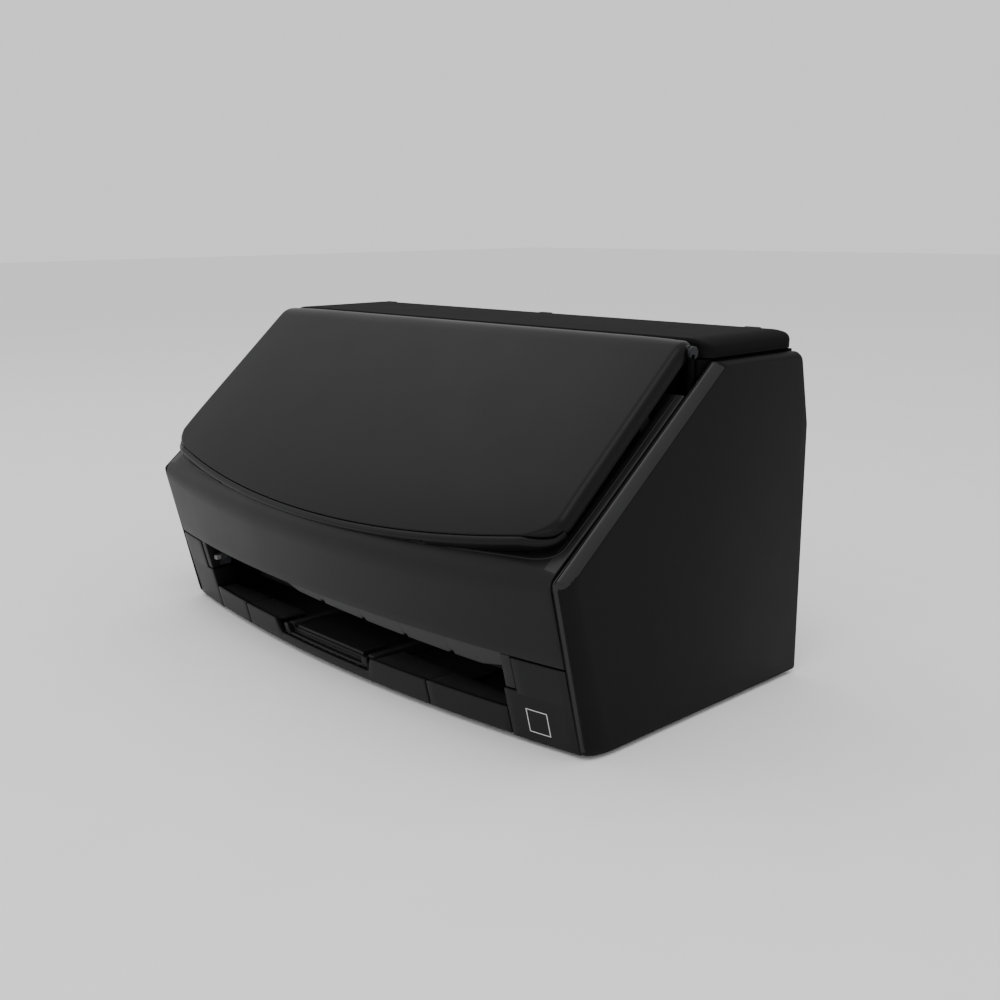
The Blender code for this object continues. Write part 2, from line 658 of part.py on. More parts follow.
def paper_guides():
    """Left and right paper guides, each with its rack, and the pinion between the racks."""
    pitch = math.pi * RACK_MODULE
    for name, sign in (("left_guide", -1), ("right_guide", 1)):
        pitch_s = GUIDE_PINION_S + sign * RACK_GAP
        reach = -sign * 9.0
        span = sorted((sign * 113.0, reach))
        phase = pitch / 2
        guide = finish_object(name, prism_lid(rack_outline(*span, pitch_s, sign, phase), *RACK_W), frame_grey())
        neck_s = GUIDE_PINION_S + sign * (RACK_GAP + 2.4)
        fin_x = sorted((sign * GUIDE_HALF_PAPER, sign * (GUIDE_HALF_PAPER + 2.0)))
        plate_x = sorted((sign * GUIDE_HALF_PAPER, sign * (GUIDE_HALF_PAPER + 5.0)))
        fin = [lid_yz(28.0, 7.5), lid_yz(51.0, 7.5), lid_yz(51.0, 17.8), lid_yz(28.0, 9.0)]
        join(guide,
             prism_lid(rect(*plate_x, neck_s - 0.7, neck_s + 0.7), 4.0, 8.0),
             prism_lid(rect(*plate_x, 29.5, 51.0), 7.3, 8.3),
             prism_x(fin, *fin_x))
    outline = gear_outline(GUIDE_PINION_TEETH, RACK_MODULE, 90.0)
    outline = [(x, GUIDE_PINION_S + s) for x, s in outline]
    pinion = finish_object("guide_pinion", prism_lid(outline, *RACK_W), gear_white())
    cut(pinion, prism_lid(arc((0.0, GUIDE_PINION_S), 2.1, 0, 360, 12)[:-1], 0.0, 8.0))


def lid_hinges():
    """Brackets beside the lid's rear corners, each with its own pin."""
    for name, sign in (("lid_hinge_bracket_left", -1), ("lid_hinge_bracket_right", 1)):
        knuckle = arc(HINGE, 3.0, 0, 180, 8)
        post = knuckle + [(HINGE[0] - 1.9, 119.0), (HINGE[0] + 3.0, 119.0)]
        bracket = finish_object(name, prism_x(post, sign * 138.5, sign * 140.3), frame_grey())
        join(bracket,
             box(*sorted((sign * 124.7, sign * 140.3)), 7.6, 19.0, 118.0, 121.0),
             turned_x(HINGE, ((sign * 139.4, 1.6), (sign * 129.6, 1.6)), 16))


# ---------------------------------------------------------------- paper drive
def gear_outline(teeth, module, start_deg):
    """Toothed outline about the origin; one tooth points along start_deg."""
    pitch_r = teeth * module / 2
    root_r = pitch_r - 1.15 * module
    tip_r = pitch_r + 0.8 * module
    half_pitch = 360.0 / teeth / 2
    flank = half_pitch * 0.5 - math.degrees(0.12 * module / pitch_r)
    points = []
    for k in range(teeth):
        centre = start_deg + k * 2 * half_pitch
        for radius, turn in ((root_r, -flank * 1.55), (tip_r, -flank * 0.5),
                             (tip_r, flank * 0.5), (root_r, flank * 1.55)):
            angle = math.radians(centre + turn)
            points.append((radius * math.cos(angle), radius * math.sin(angle)))
    return points


def path_down_deg():
    """Direction of the paper path in the side frame, in degrees from +Y."""
    return 180.0 + math.degrees(PATH_SLOPE)


def idler_centre(index):
    return path_yz(PICK_T + ROLLER_STEP * (index + 0.5), DRIVE_OFF)


def behind_feed(distance):
    return path_yz(FEED_T, DRIVE_OFF - distance)


def brake_centre():
    return path_yz(PICK_T, BRAKE_OFF)


def transfer_centre():
    return behind_feed(GEAR_MODULE * (DRIVE_TEETH + TRANSFER_TEETH) / 2)


def motor_centre():
    return behind_feed(GEAR_MODULE * (DRIVE_TEETH + 2 * TRANSFER_TEETH + MOTOR_TEETH) / 2)


def spur_gear(name, centre, teeth, start_deg, bore):
    outline = gear_outline(teeth, GEAR_MODULE, start_deg)
    outline = [(centre[0] + a, centre[1] + b) for a, b in outline]
    gear = finish_object(name, prism_x(outline, *GEAR_X), gear_white())
    cut(gear, turned_x(centre, ((GEAR_X[0] - 1, bore), (GEAR_X[1] + 1, bore)), 16))


def gears():
    down = path_down_deg()
    half_tooth = 180.0 / DRIVE_TEETH
    for name, t in (("pick_gear", PICK_T), ("feed_gear", FEED_T), ("eject_gear", EJECT_T)):
        spur_gear(name, path_yz(t, DRIVE_OFF), DRIVE_TEETH, down, SHAFT_R + RUNNING)
    for index, name in enumerate(("idler_gear_upper", "idler_gear_lower")):
        spur_gear(name, idler_centre(index), DRIVE_TEETH, down + half_tooth, 2.0 + RUNNING)
    spur_gear("transfer_gear", transfer_centre(), TRANSFER_TEETH, down + 90 + 180.0 / TRANSFER_TEETH, 2.15)
    outline = gear_outline(MOTOR_TEETH, GEAR_MODULE, down + 90)
    centre = motor_centre()
    outline = [(centre[0] + a, centre[1] + b) for a, b in outline]
    pinion = finish_object("motor_pinion", prism_x(outline, *GEAR_X), shaft_steel())
    join(pinion, turned_x(centre, ((GEAR_X[0] + 1.0, 1.5), (-116.0, 1.5)), 12))


def drive_motor():
    centre = motor_centre()
    motor = finish_object("drive_motor", turned_x(centre, ((-121.6, 16.0), (-98.0, 16.0)), 24), shaft_steel())
    smooth(motor)
    cut(motor, turned_x(centre, ((-123.0, 2.0), (-112.0, 2.0)), 12))


def drive_rollers():
    shafts = (("pick_shaft", PICK_T), ("feed_shaft", FEED_T), ("eject_shaft", EJECT_T))
    for name, t in shafts:
        bm = turned_x(path_yz(t, DRIVE_OFF), ((-134.0, SHAFT_R), (126.5, SHAFT_R)), 16)
        smooth(finish_object(name, bm, shaft_steel()))
    bore = SHAFT_R + 0.1
    tyres = (("pick_tyre", PICK_T, (-PICK_TYRE_HALF, PICK_TYRE_HALF)),
             ("feed_tyre_left", FEED_T, two_spans()[0]), ("feed_tyre_right", FEED_T, two_spans()[1]),
             ("eject_tyre_left", EJECT_T, two_spans()[0]), ("eject_tyre_right", EJECT_T, two_spans()[1]))
    for name, t, span in tyres:
        smooth(finish_object(name, tube_x(path_yz(t, DRIVE_OFF), *span, DRIVE_R, bore), roller_rubber()))


def idle_roller(name, centre, radius, spans):
    """Thin shaft with one or two rollers on it, turned in one piece."""
    profile = [(-118.4, THIN_SHAFT_R)]
    for x0, x1 in spans:
        profile += [(x0, THIN_SHAFT_R), (x0, radius), (x1, radius), (x1, THIN_SHAFT_R)]
    profile.append((118.4, THIN_SHAFT_R))
    smooth(finish_object(name, turned_x(centre, profile, 16), gear_white()))


def idle_rollers():
    pick_span = ((-PICK_TYRE_HALF, PICK_TYRE_HALF),)
    idle_roller("brake_roller", brake_centre(), BRAKE_R, pick_span)
    idle_roller("feed_idler_roller", path_yz(FEED_T, IDLER_OFF), IDLER_R, two_spans())
    idle_roller("eject_idler_roller", path_yz(EJECT_T, IDLER_OFF), IDLER_R, two_spans())


# ---------------------------------------------------------------- stacker
def bowed_tray(name, span, rear_y, floor, wall_top, front_low, inset, notch):
    """Sliding tray with side walls and a bowed front edge; floor and front_low are heights."""
    x0, x1 = span
    wall = 1.6
    inner = [x0 + wall + 0.05 + (x1 - x0 - 2 * wall - 0.1) * i / 6 for i in range(7)]
    stations = [(x0, wall_top - 0.4), (x0 + wall, wall_top - 0.4)]
    stations += [(x, floor[1]) for x in inner]
    stations += [(x1 - wall, wall_top - 0.4), (x1, wall_top - 0.4)]
    rings = []
    for x, top in stations:
        front = front_y(x, floor[0]) + inset
        ring = [(front, front_low), (front, wall_top), (front + 2.4, wall_top), (front + 2.4, top),
                (rear_y, top), (rear_y, floor[0]), (front + 2.4, floor[0]), (front + 2.4, front_low)]
        if front_low == floor[0]:
            ring = ring[:-2]
        rings.append([(x, y, z) for y, z in ring])
    tray = finish_object(name, loft(rings), housing_black())
    cut(tray, box(*notch, -90, -50, floor[1], 30))


def stacker():
    bowed_tray("stacker_stage_1", STAGE_1_X, 42.0, (5.2, 6.8), 13.9, 2.2, 0.0,
               (STAGE_2_X[0] - 1.5, STAGE_2_X[1] + 1.5))
    bowed_tray("stacker_stage_2", STAGE_2_X, 36.0, (7.3, 8.7), 12.6, 7.3, 1.6,
               (STAGE_3_X[0] - 0.8, STAGE_3_X[1] + 0.8))
    y_front = front_y(0.0, 9.0) + 5.0
    x0, x1 = STAGE_3_X
    finish_object("stacker_stage_3", box(x0, x1, y_front, 28.0, 9.1, 10.7), housing_black())
    flap = [(y_front + 0.4, 11.0), (y_front + 14.0, 11.0), (y_front + 14.0, 12.3), (y_front + 0.4, 12.3)]
    finish_object("stacker_flap", prism_x(flap, x0 + 3.0, x1 - 3.0), housing_black())


# ---------------------------------------------------------------- build
def clear_scene():
    for old in list(bpy.data.objects):
        bpy.data.objects.remove(old, do_unlink=True)


def main():
    clear_scene()
    side_panels()
    rear_cover()
    top_rear_cover()
    base_tray()
    feet()
    front_blocks()
    frame_plates()
    throat_ramp()
    lower_guide_plate()
    scan_units()
    exit_guide()
    electronics()
    top_section_cover()
    top_section_frame()
    top_section_pins()
    scan_button()
    cover_open_lever()
    lid_outer_shell()
    lid_inner_shell()
    chute_extension()
    paper_guides()
    lid_hinges()
    gears()
    drive_motor()
    drive_rollers()
    idle_rollers()
    stacker()


main()
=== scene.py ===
import json
import math

import bmesh
import bpy
import numpy as np
from mathutils import Matrix, Vector


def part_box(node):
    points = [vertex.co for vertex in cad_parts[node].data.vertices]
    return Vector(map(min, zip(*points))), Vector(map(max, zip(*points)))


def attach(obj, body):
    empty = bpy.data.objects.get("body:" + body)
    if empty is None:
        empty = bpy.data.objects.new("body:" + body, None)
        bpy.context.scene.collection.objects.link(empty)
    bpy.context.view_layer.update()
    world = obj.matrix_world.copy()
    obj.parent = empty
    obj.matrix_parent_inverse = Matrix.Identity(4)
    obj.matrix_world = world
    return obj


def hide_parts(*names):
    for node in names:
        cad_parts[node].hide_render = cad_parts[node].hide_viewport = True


MM = 0.001

# ---------------------------------------------------------------- driving dimensions, mm
HALF_WIDTH = 146.0
HALF_DEPTH = 80.5
HEIGHT = 152.0
BODY_HALF = 140.4
PANEL_INNER = 141.0
SIDE_TOP_Z = 143.4
SIDE_TOP_FRONT_Y = 18.0
NOSE_Z = 72.7
NOSE_SIDE_Y = -69.0
NOSE_CENTRE_Y = -82.65
FRONT_FOOT_Y = -65.4
REAR_KINK_Z = 114.0
REAR_TOP_Y = 74.5
LID_TOP = (8.9, 154.6)
LID_SLOPE = math.radians(41.26)
LID_LENGTH = 119.7
LID_LIP = 3.1
LID_CREST_Z = 151.9
LID_HALF = 138.2
HINGE = (8.6, 148.9)
PATH_TOP = (-5.15, 131.6)
PATH_SLOPE = math.atan2(2.0, 1.0)
PICK_T, FEED_T, EJECT_T = 43.0, 71.8, 100.6
SLOT_HALF = 109.4


def slope_z(y):
    rise = (SIDE_TOP_Z - NOSE_Z) / (SIDE_TOP_FRONT_Y - NOSE_SIDE_Y)
    return SIDE_TOP_Z - (SIDE_TOP_FRONT_Y - y) * rise


def front_y(x, z):
    lean = (FRONT_FOOT_Y - NOSE_CENTRE_Y) / (NOSE_Z - 1.5)
    return NOSE_CENTRE_Y + (NOSE_Z - z) * lean + 11.0 * (x / 130.0) ** 2


def lid_yz(s, w):
    return (LID_TOP[0] - s * math.cos(LID_SLOPE) + w * math.sin(LID_SLOPE),
            LID_TOP[1] - s * math.sin(LID_SLOPE) - w * math.cos(LID_SLOPE))


def path_yz(t, off):
    return (PATH_TOP[0] - t * math.cos(PATH_SLOPE) - off * math.sin(PATH_SLOPE),
            PATH_TOP[1] - t * math.sin(PATH_SLOPE) + off * math.cos(PATH_SLOPE))


def lid_bottom(x):
    u = (x / 130.0) ** 2
    return LID_LENGTH - 15.7 * u - 0.9 * u * u


# ---------------------------------------------------------------- materials
def plastic(name, dark, light, rough, grain=1400.0, bump=0.12, specular=0.32, wear=0.5, metal=0.0):
    """Moulded plastic: fine grain in the normal, cloudy roughness, edges rubbed a little lighter."""
    mat = bpy.data.materials.new(name)
    mat.use_nodes = True
    nodes, links = mat.node_tree.nodes, mat.node_tree.links
    shader = nodes["Principled BSDF"]
    shader.inputs["Specular IOR Level"].default_value = specular
    shader.inputs["Metallic"].default_value = metal
    where = nodes.new("ShaderNodeTexCoord")
    cloud = nodes.new("ShaderNodeTexNoise")
    cloud.inputs["Scale"].default_value = 34.0
    cloud.inputs["Detail"].default_value = 5.0
    links.new(where.outputs["Object"], cloud.inputs["Vector"])
    ramp = nodes.new("ShaderNodeValToRGB")
    ramp.color_ramp.elements[0].position = 0.3
    ramp.color_ramp.elements[0].color = (*dark, 1)
    ramp.color_ramp.elements[1].position = 0.75
    ramp.color_ramp.elements[1].color = (*light, 1)
    links.new(cloud.outputs["Fac"], ramp.inputs["Fac"])
    geometry = nodes.new("ShaderNodeNewGeometry")
    edge = nodes.new("ShaderNodeMapRange")
    edge.inputs["From Min"].default_value = 0.53
    edge.inputs["From Max"].default_value = 0.66
    edge.inputs["To Max"].default_value = wear
    links.new(geometry.outputs["Pointiness"], edge.inputs["Value"])
    rub = nodes.new("ShaderNodeMix")
    rub.data_type = "RGBA"
    rub.inputs["B"].default_value = (*[min(1.0, c * 2.2 + 0.006) for c in light], 1)
    links.new(edge.outputs["Result"], rub.inputs["Factor"])
    links.new(ramp.outputs["Color"], rub.inputs["A"])
    links.new(rub.outputs["Result"], shader.inputs["Base Color"])
    fine = nodes.new("ShaderNodeTexNoise")
    fine.inputs["Scale"].default_value = grain
    fine.inputs["Detail"].default_value = 2.0
    links.new(where.outputs["Object"], fine.inputs["Vector"])
    vary = nodes.new("ShaderNodeMapRange")
    vary.inputs["To Min"].default_value = rough - 0.05
    vary.inputs["To Max"].default_value = rough + 0.07
    links.new(cloud.outputs["Fac"], vary.inputs["Value"])
    links.new(vary.outputs["Result"], shader.inputs["Roughness"])
    dent = nodes.new("ShaderNodeBump")
    dent.inputs["Strength"].default_value = bump
    dent.inputs["Distance"].default_value = 0.0001
    links.new(fine.outputs["Fac"], dent.inputs["Height"])
    links.new(dent.outputs["Normal"], shader.inputs["Normal"])
    return mat


def brushed(name, dark, light, rough):
    """Turned steel: fine rings along the shaft stretch the noise across it."""
    mat = plastic(name, dark, light, rough, grain=900.0, bump=0.08, specular=0.5, wear=0.3, metal=1.0)
    nodes, links = mat.node_tree.nodes, mat.node_tree.links
    where = next(n for n in nodes if n.type == "TEX_COORD")
    stretch = nodes.new("ShaderNodeMapping")
    stretch.inputs["Scale"].default_value = (6.0, 0.4, 0.4)
    links.new(where.outputs["Object"], stretch.inputs["Vector"])
    for node in nodes:
        if node.type == "TEX_NOISE":
            links.new(stretch.outputs["Vector"], node.inputs["Vector"])
    return mat


def clear_glass(name):
    mat = plastic(name, (0.72, 0.8, 0.79), (0.82, 0.88, 0.87), 0.09, grain=300.0, bump=0.01, specular=0.5)
    mat.node_tree.nodes["Principled BSDF"].inputs["Transmission Weight"].default_value = 0.75
    return mat


# ---------------------------------------------------------------- mesh building
def grid_mesh(name, rings, closed=True, cap_start=False, cap_end=False, mat=None, angle=32.0):
    """Quads between equally long rings of points in mm, faces turned outwards."""
    rings = np.asarray(rings, float)
    count, n = rings.shape[:2]
    points = rings.reshape(-1, 3) * MM
    faces = []
    span = n if closed else n - 1
    for i in range(count - 1):
        for j in range(span):
            k = (j + 1) % n
            faces.append((i * n + j, i * n + k, (i + 1) * n + k, (i + 1) * n + j))
    if cap_start:
        faces.append(tuple(range(n))[::-1])
    if cap_end:
        faces.append(tuple((count - 1) * n + j for j in range(n)))
    return finish_mesh(name, points, faces, mat, angle)


def finish_mesh(name, points, faces, mat, angle):
    data = bpy.data.meshes.new(name)
    data.from_pydata([tuple(p) for p in points], [], faces)
    data.update()
    obj = bpy.data.objects.new(name, data)
    bpy.context.scene.collection.objects.link(obj)
    tidy(obj, angle)
    if mat:
        data.materials.append(mat)
    return obj


def tidy(obj, angle=32.0):
    bm = bmesh.new()
    bm.from_mesh(obj.data)
    bmesh.ops.remove_doubles(bm, verts=bm.verts, dist=1e-6)
    bmesh.ops.recalc_face_normals(bm, faces=bm.faces)
    closed = all(len(e.link_faces) == 2 for e in bm.edges)
    if closed and bm.calc_volume(signed=True) < 0:
        bmesh.ops.reverse_faces(bm, faces=bm.faces)
    bm.to_mesh(obj.data)
    bm.free()
    for face in obj.data.polygons:
        face.use_smooth = True
    obj.data.set_sharp_from_angle(angle=math.radians(angle))


def carve(obj, cutters, angle=32.0):
    """Cuts the given closed meshes out of obj for good."""
    for cutter in cutters:
        modifier = obj.modifiers.new("cut", "BOOLEAN")
        modifier.operation = "DIFFERENCE"
        modifier.solver = "EXACT"
        modifier.object = cutter
    graph = bpy.context.evaluated_depsgraph_get()
    data = bpy.data.meshes.new_from_object(obj.evaluated_get(graph))
    obj.modifiers.clear()
    obj.data = data
    for cutter in cutters:
        bpy.data.objects.remove(cutter, do_unlink=True)
    for face in obj.data.polygons:
        face.use_smooth = True
    obj.data.set_sharp_from_angle(angle=math.radians(angle))


def block(name, x0, x1, y0, y1, z0, z1, mat=None):
    rings = [[(x, y0, z0), (x, y1, z0), (x, y1, z1), (x, y0, z1)] for x in (x0, x1)]
    return grid_mesh(name, rings, cap_start=True, cap_end=True, mat=mat)


def soften(obj, width, segments=3):
    """Rounded edges of the given width in mm."""
    bevel = obj.modifiers.new("rounding", "BEVEL")
    bevel.width = width * MM
    bevel.segments = segments
    bevel.limit_method = "ANGLE"
    bevel.angle_limit = math.radians(38)
    bevel.harden_normals = True
    for face in obj.data.polygons:
        face.use_smooth = True
    obj.data.set_sharp_from_angle(angle=math.radians(32))


def rounded(corners, radii, steps=7):
    """Polygon (list of 2-D corners) with every corner turned into an arc of its own radius."""
    out = []
    n = len(corners)
    for i in range(n):
        before, corner, after = (np.array(corners[(i + k) % n], float) for k in (-1, 0, 1))
        a = (before - corner) / np.linalg.norm(before - corner)
        b = (after - corner) / np.linalg.norm(after - corner)
        half = math.acos(max(-1.0, min(1.0, float(a @ b)))) / 2
        radius = radii[i]
        if half > math.radians(89):
            out += [tuple(corner + a * 0.01 * (steps / 2 - k)) for k in range(steps + 1)]
            continue
        centre = corner + (a + b) / np.linalg.norm(a + b) * radius / math.sin(half)
        start = corner + a * radius / math.tan(half) - centre
        end = corner + b * radius / math.tan(half) - centre
        a0 = math.atan2(start[1], start[0])
        turn = (math.atan2(end[1], end[0]) - a0 + math.pi) % (2 * math.pi) - math.pi
        for k in range(steps + 1):
            angle = a0 + turn * k / steps
            out.append((centre[0] + radius * math.cos(angle), centre[1] + radius * math.sin(angle)))
    return out


def inset_polygon(corners, amounts):
    """Corners of a polygon whose edge i (corner i to i+1) moves inwards by amounts[i]."""
    corners = np.asarray(corners, float)
    n = len(corners)
    area = sum(corners[i][0] * corners[(i + 1) % n][1] - corners[(i + 1) % n][0] * corners[i][1]
               for i in range(n))
    side = 1.0 if area > 0 else -1.0
    lines = []
    for i in range(n):
        d = corners[(i + 1) % n] - corners[i]
        d /= np.linalg.norm(d)
        lines.append((corners[i] + side * amounts[i] * np.array((-d[1], d[0])), d))
    out = []
    for i in range(n):
        (p, d), (q, e) = lines[i - 1], lines[i]
        cross = d[0] * e[1] - d[1] * e[0]
        t = ((q - p)[0] * e[1] - (q - p)[1] * e[0]) / cross
        out.append(tuple(p + d * t))
    return out


def lathe(name, centre, profile, mat, axis="x", segments=72):
    """Turned piece: profile is (place along the axis, radius) pairs in mm."""
    rings = []
    for along, radius in profile:
        ring = []
        for k in range(segments):
            a = 2 * math.pi * k / segments
            u, v = radius * math.cos(a), radius * math.sin(a)
            if axis == "x":
                ring.append((along, centre[0] + u, centre[1] + v))
            else:
                ring.append((centre[0] + u, centre[1] + v, along))
        rings.append(ring)
    return grid_mesh(name, rings, cap_start=True, cap_end=True, mat=mat)


# ---------------------------------------------------------------- start
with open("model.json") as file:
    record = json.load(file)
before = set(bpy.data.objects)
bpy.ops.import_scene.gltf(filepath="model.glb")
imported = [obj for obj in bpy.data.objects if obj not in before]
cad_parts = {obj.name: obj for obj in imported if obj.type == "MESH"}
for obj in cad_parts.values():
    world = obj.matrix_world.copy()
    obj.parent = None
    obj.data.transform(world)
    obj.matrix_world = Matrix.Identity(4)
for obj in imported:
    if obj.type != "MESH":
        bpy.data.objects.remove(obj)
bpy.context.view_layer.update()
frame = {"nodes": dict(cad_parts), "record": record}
cad = frame["nodes"]

HOUSING = plastic("housing plastic", (0.0046, 0.0046, 0.0048), (0.0062, 0.0062, 0.0065), 0.44, specular=0.17)
ROOF = plastic("roof plastic", (0.0036, 0.0036, 0.0038), (0.005, 0.005, 0.0053), 0.8, specular=0.06)
TRAY = plastic("tray plastic", (0.018, 0.018, 0.0185), (0.024, 0.024, 0.0245), 0.5, specular=0.3, wear=0.2)
SIDE = plastic("side panel plastic", (0.003, 0.003, 0.0032), (0.0042, 0.0042, 0.0045), 0.56, specular=0.1)
LID = plastic("lid plastic", (0.0026, 0.0026, 0.0028), (0.0036, 0.0036, 0.0038), 0.4,
              grain=1700.0, specular=0.13)
GREY = plastic("inner plastic", (0.022, 0.023, 0.026), (0.031, 0.032, 0.036), 0.5, grain=1200.0)
DEEP = plastic("deep plastic", (0.004, 0.004, 0.0045), (0.0065, 0.0065, 0.007), 0.55, wear=0.2)
KNUCKLE = plastic("hinge plastic", (0.007, 0.0075, 0.009), (0.01, 0.0105, 0.0125), 0.4, specular=0.2)
# near-black copy for hinge posts, hinge ledges and joint strips: painted shade in the gaps
SHADOW = plastic("painted shade plastic", (0.0012, 0.0012, 0.0012), (0.0018, 0.0018, 0.0018), 0.8,
                 specular=0.05, wear=0.05)
WHITE = plastic("acetal", (0.55, 0.54, 0.5), (0.66, 0.65, 0.61), 0.38, grain=500.0, specular=0.5, wear=0.1)
# lighter copy of the side plastic: a painted highlight for the bevel bands
BEVEL_PAINTED_HIGHLIGHT = plastic("bevel plastic with painted highlight", (0.0075, 0.0075, 0.0078), (0.0105, 0.0105, 0.011), 0.36, specular=0.3)
# lighter copy of the housing plastic: painted light on the flat ledges beside the lid
LEDGE_PAINTED_LIGHT = plastic("ledge plastic with painted light", (0.009, 0.009, 0.0094), (0.012, 0.012, 0.0125), 0.42, specular=0.3)
RUBBER = plastic("roller rubber", (0.016, 0.018, 0.021), (0.028, 0.03, 0.034), 0.72,
                 grain=2600.0, bump=0.35, wear=0.2)
FOOT = plastic("foot rubber", (0.012, 0.012, 0.012), (0.02, 0.02, 0.02), 0.8,
               grain=2200.0, bump=0.4, wear=0.2)
STEEL = brushed("turned steel", (0.42, 0.43, 0.45), (0.6, 0.61, 0.63), 0.3)
BOARD = plastic("solder mask", (0.01, 0.075, 0.035), (0.016, 0.11, 0.055), 0.35,
                grain=700.0, specular=0.5, wear=0.1)
BLUE = plastic("button plastic", (0.012, 0.08, 0.22), (0.02, 0.12, 0.3), 0.3, specular=0.5, wear=0.2)
GLASS = clear_glass("scan glass")
PEG = plastic("peg plastic", (0.12, 0.12, 0.12), (0.17, 0.17, 0.17), 0.45, grain=800.0, wear=0.2)
PRINT = plastic("label print", (0.5, 0.5, 0.5), (0.62, 0.62, 0.62), 0.5, grain=900.0, wear=0.1)


def place(obj, body, slot, *nodes):
    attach(obj, body)
    if nodes:
        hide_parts(*nodes)
    return obj


# ---------------------------------------------------------------- side panels
def panel_rings(sign):
    corners = [(HALF_DEPTH, 1.5), (HALF_DEPTH, REAR_KINK_Z), (REAR_TOP_Y, SIDE_TOP_Z),
               (SIDE_TOP_FRONT_Y, SIDE_TOP_Z), (NOSE_SIDE_Y, NOSE_Z), (-53.0, 1.5)]
    # x, cut-back of the slanted edge, of the top and rear edges, of the bottom edge
    stations = [(PANEL_INNER, 0.9, 0.9, 0.5), (141.12, 0.45, 0.45, 0.25), (141.35, 0.1, 0.1, 0.08),
                (141.6, 0.0, 0.0, 0.0),
                (142.0, 0.0, 0.0, 0.0), (142.2, 0.5, 0.0, 0.0), (142.35, 0.55, 0.0, 0.0),
                (142.55, 0.05, 0.0, 0.0), (142.9, 0.22, 0.02, 0.0), (143.4, 0.72, 0.05, 0.0),
                (143.9, 1.22, 0.1, 0.02),
                (144.4, 1.74, 0.3, 0.08), (144.8, 2.2, 0.56, 0.12),
                (145.1, 2.55, 0.76, 0.18), (145.4, 2.95, 0.98, 0.28), (145.65, 3.3, 1.24, 0.4),
                (145.85, 3.7, 1.56, 0.58), (145.96, 4.1, 1.95, 0.8), (HALF_WIDTH, 4.6, 2.4, 1.0)]
    rings = []
    for x, slant, top, bottom in stations:
        u = min(1.0, (x - PANEL_INNER) / (HALF_WIDTH - PANEL_INNER))
        bow = 1.0 - math.sqrt(max(0.0, 1.0 - u * u))
        shape = inset_polygon(corners, [top * 0.12, top * 0.3, top, slant, 0.0, bottom])
        # the front edge swings back as it turns into the side face
        y_low, y_high = -53.0 + 12.6 * bow, NOSE_SIDE_Y + 8.6 * bow
        lean = (y_low - y_high) / (NOSE_Z - 1.5)
        rise = (shape[3][1] - shape[4][1]) / (shape[3][0] - shape[4][0])
        z_nose = (shape[3][1] - rise * shape[3][0] + rise * (y_high + lean * NOSE_Z)) / (1 + rise * lean)
        shape[4] = (y_high + (NOSE_Z - z_nose) * lean, z_nose)
        shape[5] = (y_high + (NOSE_Z - shape[5][1]) * lean, shape[5][1])
        outline = rounded(shape, (1.2, 7.0, 3.2, 3.2, 2.2 + 4.2 * bow, 3.5 + 5.0 * bow), steps=9)
        rings.append([(sign * x, y, z) for y, z in outline])
    return rings


for sign, side in ((-1, "left"), (1, "right")):
    rings = panel_rings(sign)
    inner = [(sign * 143.4, y * 0.985 - 0.2, 2.5 + (z - 1.5) * 0.975) for _, y, z in rings[0]]
    edge = [(sign * PANEL_INNER, y, z) for _, y, z in inner]
    rings = [inner, edge] + rings
    panel = grid_mesh(f"{side}_panel_shell", rings, cap_start=True, cap_end=True, mat=SIDE, angle=28.0)
    # bevel faces turned up towards the slope take the lighter copy: a painted highlight
    panel.data.materials.append(BEVEL_PAINTED_HIGHLIGHT)
    slope_normal = Vector((0, -math.sin(LID_SLOPE), math.cos(LID_SLOPE)))
    for face in panel.data.polygons:
        y = face.center.y / MM
        outside = sign * face.center.x > 141.5 * MM
        if face.normal @ slope_normal > 0.3 and NOSE_SIDE_Y < y < SIDE_TOP_FRONT_Y + 1.0 and outside:
            face.material_index = 1
    place(panel, "root", "housing_black", f"{side}_side_panel")


# ---------------------------------------------------------------- top rear cover
def plan_ring(inset, z_of, x_half=142.3, y0=15.35, y1=76.2, radius=5.0):
    corners = [(-x_half + inset, y0 + inset), (x_half - inset, y0 + inset),
               (x_half - inset, y1 - inset), (-x_half + inset, y1 - inset)]
    rear = max(0.4, radius + 4.0 - inset)
    points = rounded(corners, [max(0.4, radius - inset)] * 2 + [rear] * 2, steps=10)
    dense = []
    for i, a in enumerate(points):
        b = points[(i + 1) % len(points)]
        cuts = {10: 60, 21: 14, 32: 60, 43: 14}.get(i, 1)
        if cuts > 1:
            # closer points where the ends curl down
            marks = [0.5 - 0.5 * math.cos(math.pi * k / cuts) for k in range(cuts)]
        else:
            marks = [0.0]
        dense += [(a[0] + (b[0] - a[0]) * m, a[1] + (b[1] - a[1]) * m) for m in marks]
    return [(x, y, z_of(x, y)) for x, y in dense]


def roof_z(x, y, edge):
    over = max(0.0, (abs(x) - 131.5) / 11.0)
    drop = 5.4 * (1.0 - math.sqrt(max(0.0, 1.0 - min(1.0, over) ** 2)))
    rear = max(0.0, (y - 70.0) / 6.4)
    drop += 1.3 * rear * rear
    return HEIGHT - drop - edge


